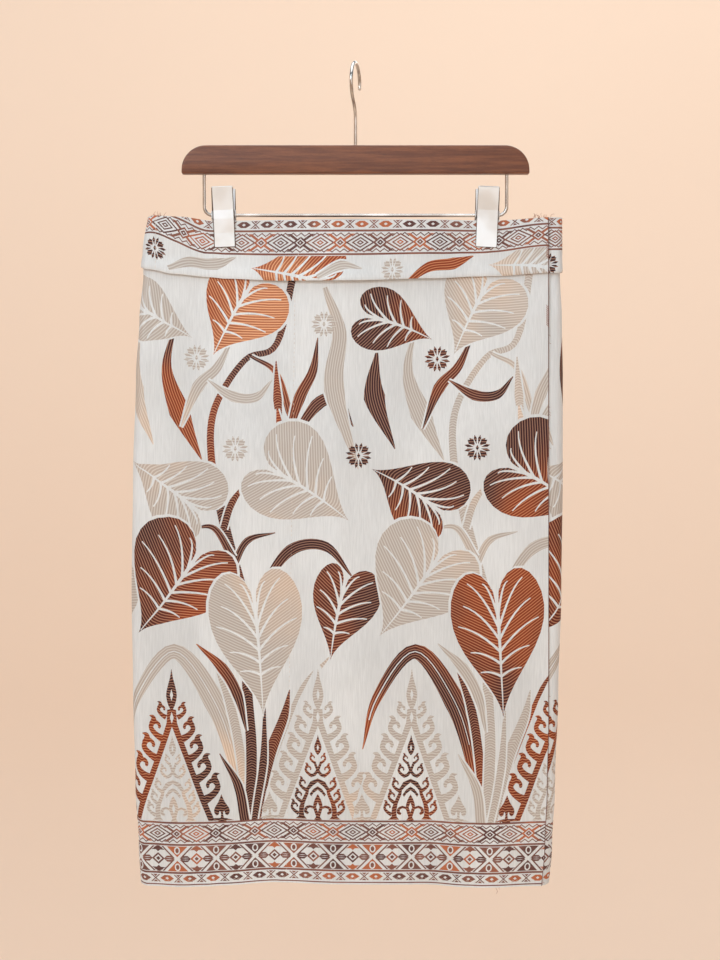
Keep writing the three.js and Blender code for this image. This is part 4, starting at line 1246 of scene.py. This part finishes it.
def frayed_ends():
    """Loose copper threads at the waist's corners, along the free edge and one at the hem."""
    chance = np.random.default_rng(7)
    paths = []

    def loose(start, way, length, curl):
        t = np.linspace(0, 1, 7)[:, None]
        way = np.array(way, float) / np.linalg.norm(way)
        aside = np.array([way[2], -0.3, -way[0]])
        paths.append(np.asarray(start) + way * length * t + aside * curl * t**2 + aside * 0.25 * curl * np.sin(t * 7))

    for _ in range(16):
        wrap = np.array([1.013 + 0.045 * chance.random()])
        start = on_cloth(wrap, np.array([1.985]), -0.3, True)[0]
        way = (chance.normal(0, 0.7), -0.3, 0.7 + chance.random())
        loose(start, way, 2.5 + 4.5 * chance.random(), chance.normal(0, 1.6))
    for _ in range(8):
        wrap = np.array([1.965 + 0.05 * chance.random()])
        start = on_cloth(wrap, np.array([1.985]), -0.3, True)[0]
        loose(start, (chance.normal(0, 0.6), -0.3, 0.8), 2 + 3.5 * chance.random(), chance.normal(0, 1.4))
    for row in [0.006, 0.2, 0.31, 0.44, 0.62, 0.78, 0.9, *chance.random(8) * 0.95]:
        start = on_cloth(free_edge(np.array([row])) + 0.0012, np.array([row]), -0.3)[0]
        loose(start, (1.0, -0.2, chance.normal(-0.4, 0.6)), 1.2 + 2.2 * chance.random(), chance.normal(0, 0.9))
    hem = on_cloth(np.array([1.118]), np.array([0.001]), -0.4)[0]
    loose(hem, (0.5, -0.1, -1), 6.5, 2.6)
    loose(hem + [3, 0, 0.4], (-0.2, -0.1, -1), 3.0, -1.4)
    return paths


SEAM_THREAD = thread_paint("seam thread", rgb(226, 214, 202), rgb(196, 176, 160))
COPPER_THREAD = thread_paint("copper thread", rgb(120, 62, 44), rgb(178, 102, 66))
thread_mesh("stitch_rows", seam_threads(), 0.2, SEAM_THREAD)
thread_mesh("edge_tacks", edge_tacks(), 0.28, COPPER_THREAD)
thread_mesh("frayed_threads", frayed_ends(), 0.13, COPPER_THREAD, sides=4)


# ---- Finishes of the hanger ----

def walnut():
    """Stained wood with fine level grain and a satin lacquer."""
    paint = Paint("walnut stain", Coat_Weight=0.12, Coat_Roughness=0.3)
    at = paint.place((5, 14, 90))
    bands = paint.noise(5, 4, at, 0.6)
    pores = paint.noise(60, 3, paint.place((4, 30, 60)), 0.7)
    colour = paint.mix(bands.eased(0.32, 0.68), rgb(98, 53, 32), rgb(129, 76, 47))
    colour = paint.mix(pores.eased(0.52, 0.72) * 0.55, colour, rgb(52, 30, 25))
    paint.bump(pores * -1.0, 0.00012, 0.4)
    return paint.surface(Base_Color=colour, Roughness=bands * 0.15 + 0.36)


def chrome(name, tone, rough, metal=1.0, bright=rgb(226, 222, 218)):
    """Bright plated steel with faint polishing marks."""
    paint = Paint(name, Metallic=metal)
    marks = paint.noise(260, 3, paint.place((1, 1, 0.15)))
    cloud = paint.noise(30, 2)
    colour = paint.mix(cloud.eased(0.35, 0.7), tone, bright)
    paint.bump(marks, 0.00003, 0.3)
    return paint.surface(Base_Color=colour, Roughness=marks * 0.08 + rough)


WOOD = walnut()
WIRE = chrome("bright wire", rgb(186, 176, 168), 0.16)
PLATE = chrome("clip plate", rgb(246, 248, 250), 0.5, 0.3)
# painted shade and dark reflection for the plates' outlines
PLATE_SHADE = chrome("plate painted shade", rgb(92, 76, 68), 0.45, 0.6, rgb(116, 98, 88))
SPRING = chrome("spring steel", rgb(180, 172, 166), 0.25)


# ---- Modelling steps for the hanger's pieces ----

def begin(add, name, **sizes):
    """A new primitive, alone selected, with its place in its mesh, in edit mode with all of it selected."""
    bpy.ops.object.select_all(action="DESELECT")
    add(**sizes)
    piece = bpy.context.object
    piece.name = piece.data.name = name
    bpy.ops.object.transform_apply(location=True, rotation=True, scale=True)
    bpy.ops.object.mode_set(mode="EDIT")
    bpy.ops.mesh.select_all(action="SELECT")
    return piece


def choose(piece, kind, test):
    """Selects the faces, edges or points of a piece that pass a test on their middle and themselves."""
    bpy.ops.mesh.select_mode(type=kind)
    work = bmesh.from_edit_mesh(piece.data)
    parts = {"FACE": work.faces, "EDGE": work.edges, "VERT": work.verts}[kind]
    for part in parts:
        middle = part.co if kind == "VERT" else sum((v.co for v in part.verts), Vector()) / len(part.verts)
        part.select_set(bool(test(middle / MM, part)))
    work.select_flush_mode()
    bmesh.update_edit_mesh(piece.data)


def draw_out(x=0.0, y=0.0, z=0.0):
    bpy.ops.mesh.extrude_region_move(TRANSFORM_OT_translate={"value": (x * MM, y * MM, z * MM)})


def bend_round(centre, axis, degrees, steps):
    """Carries the selected end round an axis, as wire is bent round a peg. The spin turns against its angle."""
    bpy.ops.mesh.spin(steps=steps, angle=-math.radians(degrees), center=Vector(centre) * MM, axis=axis)


def scale_about(piece, factors):
    """Scales what is selected about its own middle."""
    chosen = [v.co for v in bmesh.from_edit_mesh(piece.data).verts if v.select]
    bpy.ops.transform.resize(value=factors, center_override=sum(chosen, Vector()) / len(chosen))


def add_modifier(piece, kind, **settings):
    modifier = piece.modifiers.new(kind.lower(), kind)
    for setting, value in settings.items():
        setattr(modifier, setting, value)
    bpy.ops.object.modifier_apply(modifier=modifier.name)


def end_piece(piece, slot, material, *nodes, smooth_angle=35):
    """Back to object mode, placed in its own mesh, normals outwards, smoothed, painted and riding on the body."""
    if piece.mode == "EDIT":
        bpy.ops.object.mode_set(mode="OBJECT")
    bpy.ops.object.transform_apply(location=True, rotation=True, scale=True)
    bpy.ops.object.mode_set(mode="EDIT")
    bpy.ops.mesh.select_all(action="SELECT")
    bpy.ops.mesh.remove_doubles(threshold=0.000001)
    bpy.ops.mesh.normals_make_consistent(inside=False)
    bpy.ops.object.mode_set(mode="OBJECT")
    bpy.ops.object.shade_smooth_by_angle(angle=math.radians(smooth_angle))
    piece.data.materials.clear()
    piece.data.materials.append(material)
    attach(piece, "root")
    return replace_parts(piece, *nodes)


def wooden_bar():
    """A plank with rounded shoulders and softened edges."""
    high = BAR["top"] - BAR["bottom"]
    piece = begin(bpy.ops.mesh.primitive_cube_add, "wooden_bar", size=1)
    scale_about(piece, (BAR["width"] * MM, BAR["thick"] * MM, high * MM))
    bpy.ops.transform.translate(value=(0, 0, (BAR["top"] + BAR["bottom"]) / 2 * MM))
    choose(piece, "EDGE", lambda m, e: abs(m.y) < 1 and m.z > BAR["top"] - 1)
    bpy.ops.mesh.bevel(offset=BAR["corner"] * MM, segments=12, affect="EDGES")
    choose(piece, "EDGE", lambda m, e: all(abs(abs(v.co.y) - BAR["thick"] / 2 * MM) < 1e-5 for v in e.verts))
    bpy.ops.mesh.bevel(offset=BAR["edge"] * MM, segments=4, affect="EDGES")
    return end_piece(piece, "walnut", WOOD, "hanger_bar")


def wire_hook():
    """A wire set in the bar that leans aside in two bends and turns over in the crown, with a domed tip."""
    foot, neck, rise, crown = BAR["top"] - BAR["set_in"], HOOK["neck"], HOOK["rise"], HOOK["crown"]
    piece = begin(bpy.ops.mesh.primitive_circle_add, "wire_hook", vertices=16, radius=HOOK["wire"] * MM,
                  fill_type="NGON", location=(0, 0, foot * MM))
    draw_out(z=neck - foot)
    lean = 2 * math.degrees(math.atan(crown / rise))
    bow = rise / 2 / math.sin(math.radians(lean))
    bend_round((0, -bow, neck), (1, 0, 0), lean, 7)
    bend_round((0, bow - crown, neck + rise), (1, 0, 0), -lean, 7)
    bend_round((0, 0, neck + rise), (1, 0, 0), -180 - HOOK["drop"], 30)
    slope = math.radians(HOOK["drop"])
    for out, shrink in ((0.8, 0.86), (0.55, 0.7), (0.3, 0.4)):
        draw_out(y=-out * math.sin(slope), z=-out * math.cos(slope))
        scale_about(piece, (shrink,) * 3)
    bpy.ops.object.mode_set(mode="OBJECT")
    piece.rotation_euler = (0, 0, -math.radians(HOOK["turn"]))
    return end_piece(piece, "bright_wire", WIRE, "hanger_hook", smooth_angle=50)


def wire_rail():
    """One wire out of the bar at both ends, bent square to run level under it."""
    foot, low, bend, half = BAR["bottom"] + BAR["set_in"], RAIL["height"], RAIL["bend"], RAIL["half"]
    piece = begin(bpy.ops.mesh.primitive_circle_add, "wire_rail", vertices=16, radius=HOOK["wire"] * MM,
                  fill_type="NGON", location=(-half * MM, 0, foot * MM))
    draw_out(z=low + bend - foot)
    bend_round((bend - half, 0, low + bend), (0, 1, 0), -90, 8)
    draw_out(x=2 * (half - bend))
    bend_round((half - bend, 0, low + bend), (0, 1, 0), -90, 8)
    draw_out(z=foot - low - bend)
    return end_piece(piece, "bright_wire", WIRE, "clip_rail", smooth_angle=50)


def set_on_rail(piece, hand):
    """Leans a clip's piece in at the bottom and puts it on the rail."""
    piece.rotation_euler = (0, math.radians(CLIP["tilt"]) * hand, 0)
    piece.location = (hand * CLIP["at"] * MM, 0, RAIL["height"] * MM)


def clip_jaw(name, hand, facing, node):
    """A jaw folded from sheet: its pad on the cloth, the step round the rail, the flared lever and two ears.
    The right clip's front jaw also holds the two plies that cover the tube there."""
    plies = 2 if hand > 0 and facing < 0 else 0
    grip = CLOTH["pinch"] + PLY * (1 + plies) + CLIP["rest"] + CLIP["plate"]
    knee, flare = max(CLIP["knee"] + CLIP["plate"], grip), CLIP["flare"] + CLIP["plate"]
    half = CLIP["width"] / 2 + (CLIP["plate"] + 0.3 if facing > 0 else 0)
    foot, pad, above = -CLIP["below"], CLIP["pad"], CLIP["above"]
    piece = begin(bpy.ops.mesh.primitive_plane_add, name, size=1, rotation=(-facing * math.pi / 2, 0, 0))
    scale_about(piece, (2 * half * MM, 1, pad * MM))
    bpy.ops.transform.translate(value=(0, facing * grip * MM, (foot + pad / 2) * MM))
    choose(piece, "EDGE", lambda m, e: m.z > foot + pad - 0.1)
    draw_out(y=facing * (knee - grip), z=-CLIP["ear_below"] - foot - pad)
    draw_out(z=CLIP["ear_below"] + CLIP["ear_above"])
    draw_out(y=facing * (flare - knee), z=above - CLIP["ear_above"])
    choose(piece, "EDGE", lambda m, e: abs(m.x) > half - 0.1 and -CLIP["ear_below"] < m.z < CLIP["ear_above"])
    draw_out(y=-facing * (knee + CLIP["ear_back"]))
    choose(piece, "VERT", lambda m, v: (m.z < foot + 0.1 or m.z > above - 0.1) and abs(m.x) > half - 0.1)
    bpy.ops.mesh.bevel(offset=CLIP["corner"] * MM, segments=4, affect="VERTICES")
    choose(piece, "VERT", lambda m, v: m.y * facing < 0)
    bpy.ops.mesh.bevel(offset=CLIP["ear_corner"] * MM, segments=4, affect="VERTICES")
    bpy.ops.object.mode_set(mode="OBJECT")
    add_modifier(piece, "SOLIDIFY", thickness=CLIP["plate"] * MM, offset=-1, use_even_offset=True)
    bpy.ops.mesh.primitive_cylinder_add(vertices=24, radius=CLIP["ear_hole"] * MM, depth=0.06,
                                        rotation=(0, math.pi / 2, 0))
    drill = bpy.context.object
    bpy.ops.object.select_all(action="DESELECT")
    bpy.context.view_layer.objects.active = piece
    piece.select_set(True)
    add_modifier(piece, "BOOLEAN", object=drill, operation="DIFFERENCE", solver="EXACT")
    bpy.data.objects.remove(drill)
    add_modifier(piece, "BEVEL", width=CLIP["soft"] * MM, segments=2, limit_method="ANGLE",
                 angle_limit=math.radians(40))
    set_on_rail(piece, hand)
    end_piece(piece, "clip_metal", PLATE, node)
    # a ring of painted shade round the plate's edges
    paint_shaded_rim(piece, facing)


FACES_OUT, TURNS_OUT, TURNS_ASIDE = 0.93, 0.3, 0.9  # how far a plate's face looks outwards: full on, partly, hardly


def paint_shaded_rim(piece, facing):
    """Paints a plate's dark outline of painted shade and dark reflection: a narrow ring round its outer faces and its
    sides, but not the lever's end, which is left light.
    """
    piece.data.materials.append(PLATE_SHADE)
    bpy.ops.object.mode_set(mode="EDIT")
    choose(piece, "FACE", lambda m, f: f.normal.y * facing > FACES_OUT)
    bpy.ops.mesh.inset(thickness=CLIP["rim"] * MM, depth=0)
    plate = bmesh.from_edit_mesh(piece.data)
    lever_end = (RAIL["height"] + CLIP["above"] - CLIP["rim_stop"]) * MM
    for face in plate.faces:
        # the ring and the sides take the dark material of painted shade
        out = face.normal.y * facing
        shaded_ring = out > TURNS_OUT and not face.select and face.calc_center_median().z < lever_end
        side = abs(out) < TURNS_ASIDE and abs(face.normal.x) + 0.25 > abs(face.normal.z)
        face.material_index = int(shaded_ring or side)
        face.smooth = out < FACES_OUT
    bmesh.update_edit_mesh(piece.data)
    bpy.ops.object.mode_set(mode="OBJECT")


def coil_spring(name, hand, node):
    """A coil wound round the rail, with a leg up behind each jaw's lever."""
    wire, turns, radius = COIL["wire"], COIL["turns"], COIL["radius"]
    half = CLIP["width"] / 2 - CLIP["plate"] - COIL["slack"] - wire
    piece = begin(bpy.ops.mesh.primitive_circle_add, name, vertices=8, radius=wire * MM, fill_type="NOTHING",
                  location=(-half * MM, radius * MM, 0))
    bpy.ops.object.mode_set(mode="OBJECT")
    steps = int(turns * COIL["steps"])
    add_modifier(piece, "SCREW", axis="X", angle=-2 * math.pi * turns, screw_offset=2 * half * MM, iterations=1,
                 steps=steps, render_steps=steps)
    away = mix(CLIP["knee"], CLIP["flare"], 0.7) - wire - CLIP["rest"] - radius
    for end in (-1, 1):
        bpy.ops.object.mode_set(mode="EDIT")
        choose(piece, "EDGE", lambda m, e: e.is_boundary and m.x * end > 0)
        draw_out(z=COIL["foot"])
        draw_out(y=-end * away, z=COIL["leg"])
        bpy.ops.mesh.edge_face_add()
        choose(piece, "EDGE", lambda m, e: False)
    bpy.ops.object.mode_set(mode="OBJECT")
    set_on_rail(piece, hand)
    return end_piece(piece, "clip_metal", SPRING, node, smooth_angle=60)


wooden_bar()
wire_hook()
wire_rail()
for side, hand in (("left", -1), ("right", 1)):
    clip_jaw(f"{side}_front_plate", hand, -1, f"{side}_clip_front_jaw")
    clip_jaw(f"{side}_back_plate", hand, 1, f"{side}_clip_back_jaw")
    coil_spring(f"{side}_coil", hand, f"{side}_clip_spring")


# ---- The studio: a pale bowl, soft lights and the camera ----

STUDIO = {"radius": 4.75, "floor": -1.95, "cove": 0.9, "wall": 3.2, "cove_steps": 8, "around": 96}


def bowl():
    """A floor that sweeps up into a round wall, open at the top."""
    radius, cove, steps, around = (STUDIO[key] for key in ("radius", "cove", "cove_steps", "around"))
    profile = [(0.02, 0), (1.5, 0), (radius - cove, 0)]
    for k in range(1, steps + 1):
        turn = math.pi / 2 * k / steps
        profile.append((radius - cove + cove * math.sin(turn), cove * (1 - math.cos(turn))))
    profile.append((radius, STUDIO["wall"]))
    points, faces = [], []
    for k in range(around):
        turn = 2 * math.pi * k / around
        points += [(r * math.cos(turn), r * math.sin(turn), STUDIO["floor"] + z) for r, z in profile]
    rings = len(profile)
    for k in range(around):
        a, b = k * rings, (k + 1) % around * rings
        faces += [(a + i, b + i, b + i + 1, a + i + 1) for i in range(rings - 1)]
    faces.append([k * rings for k in range(around)][::-1])
    mesh = bpy.data.meshes.new("studio_bowl")
    mesh.from_pydata(points, [], faces)
    mesh.shade_smooth()
    stage = bpy.data.objects.new("studio_bowl", mesh)
    bpy.context.collection.objects.link(stage)
    paint = Paint("plain pale wall", Specular_IOR_Level=0.1)
    cloud = paint.noise(0.8, 1)
    colour = paint.mix(cloud, rgb(238, 218, 200), rgb(234, 212, 193))
    mesh.materials.append(paint.surface(Base_Color=colour, Roughness=0.9))


def area_light(name, at, aim, size, power, tint=(1, 1, 1)):
    """A round soft light: places and size in metres, power in watts."""
    data = bpy.data.lights.new(name, "AREA")
    data.shape, data.size, data.energy, data.color = "DISK", size, power, tint
    light = bpy.data.objects.new(name, data)
    light.location = at
    light.rotation_euler = (Vector(aim) - Vector(at)).to_track_quat("-Z", "Y").to_euler()
    bpy.context.collection.objects.link(light)


DAYLIGHT = (0.80, 0.92, 1)
bowl()
area_light("key", (-1.9, -2.7, 1.3), (0, 0, -0.42), 1.5, 48, DAYLIGHT)
area_light("front", (0.3, -4.0, 0.2), (0, 0, -0.42), 1.8, 11, DAYLIGHT)
area_light("waist", (-0.1, -1.3, 0.6), (0, 0, -0.2), 0.7, 2.2, (0.80, 0.94, 1))
area_light("hem", (0.3, -1.2, -1.65), (0, 0, -0.75), 0.7, 1.8, (1, 0.82, 0.5))
area_light("fill", (2.2, -2.6, 0.2), (0, 0, -0.5), 2.0, 7, DAYLIGHT)
area_light("top", (0, 0, 3.2), (0, 0, 0), 5.5, 160, (0.93, 0.97, 1))
area_light("wall wash", (0.4, 2.0, 2.2), (0.4, 4.75, 0.7), 1.6, 42, (1, 0.97, 0.92))
area_light("rear", (0.6, 3.4, 0.8), (0, 0, -0.5), 2.2, 16)
bpy.context.scene.view_settings.view_transform = "Standard"

world = bpy.data.worlds.new("studio air")
world.use_nodes = True
air = world.node_tree.nodes["Background"].inputs
air["Color"].default_value, air["Strength"].default_value = rgb(228, 238, 250), 0.25
bpy.context.scene.world = world

# The camera looks level from the front; its frame is 0.984 m high at the hanger.
VIEW = {"x": 0.0046, "back": 2.6, "height": -0.4260, "frame": 0.984}
SENSOR = 36.0
lens = bpy.data.cameras.new("camera")
lens.sensor_fit = "VERTICAL"
lens.sensor_height = SENSOR
lens.lens = SENSOR / 2 / (VIEW["frame"] / 2 / VIEW["back"])
camera = bpy.data.objects.new("camera", lens)
camera.location = (VIEW["x"], -VIEW["back"], VIEW["height"])
camera.rotation_euler = (math.pi / 2, 0, 0)
bpy.context.collection.objects.link(camera)
bpy.context.scene.camera = camera
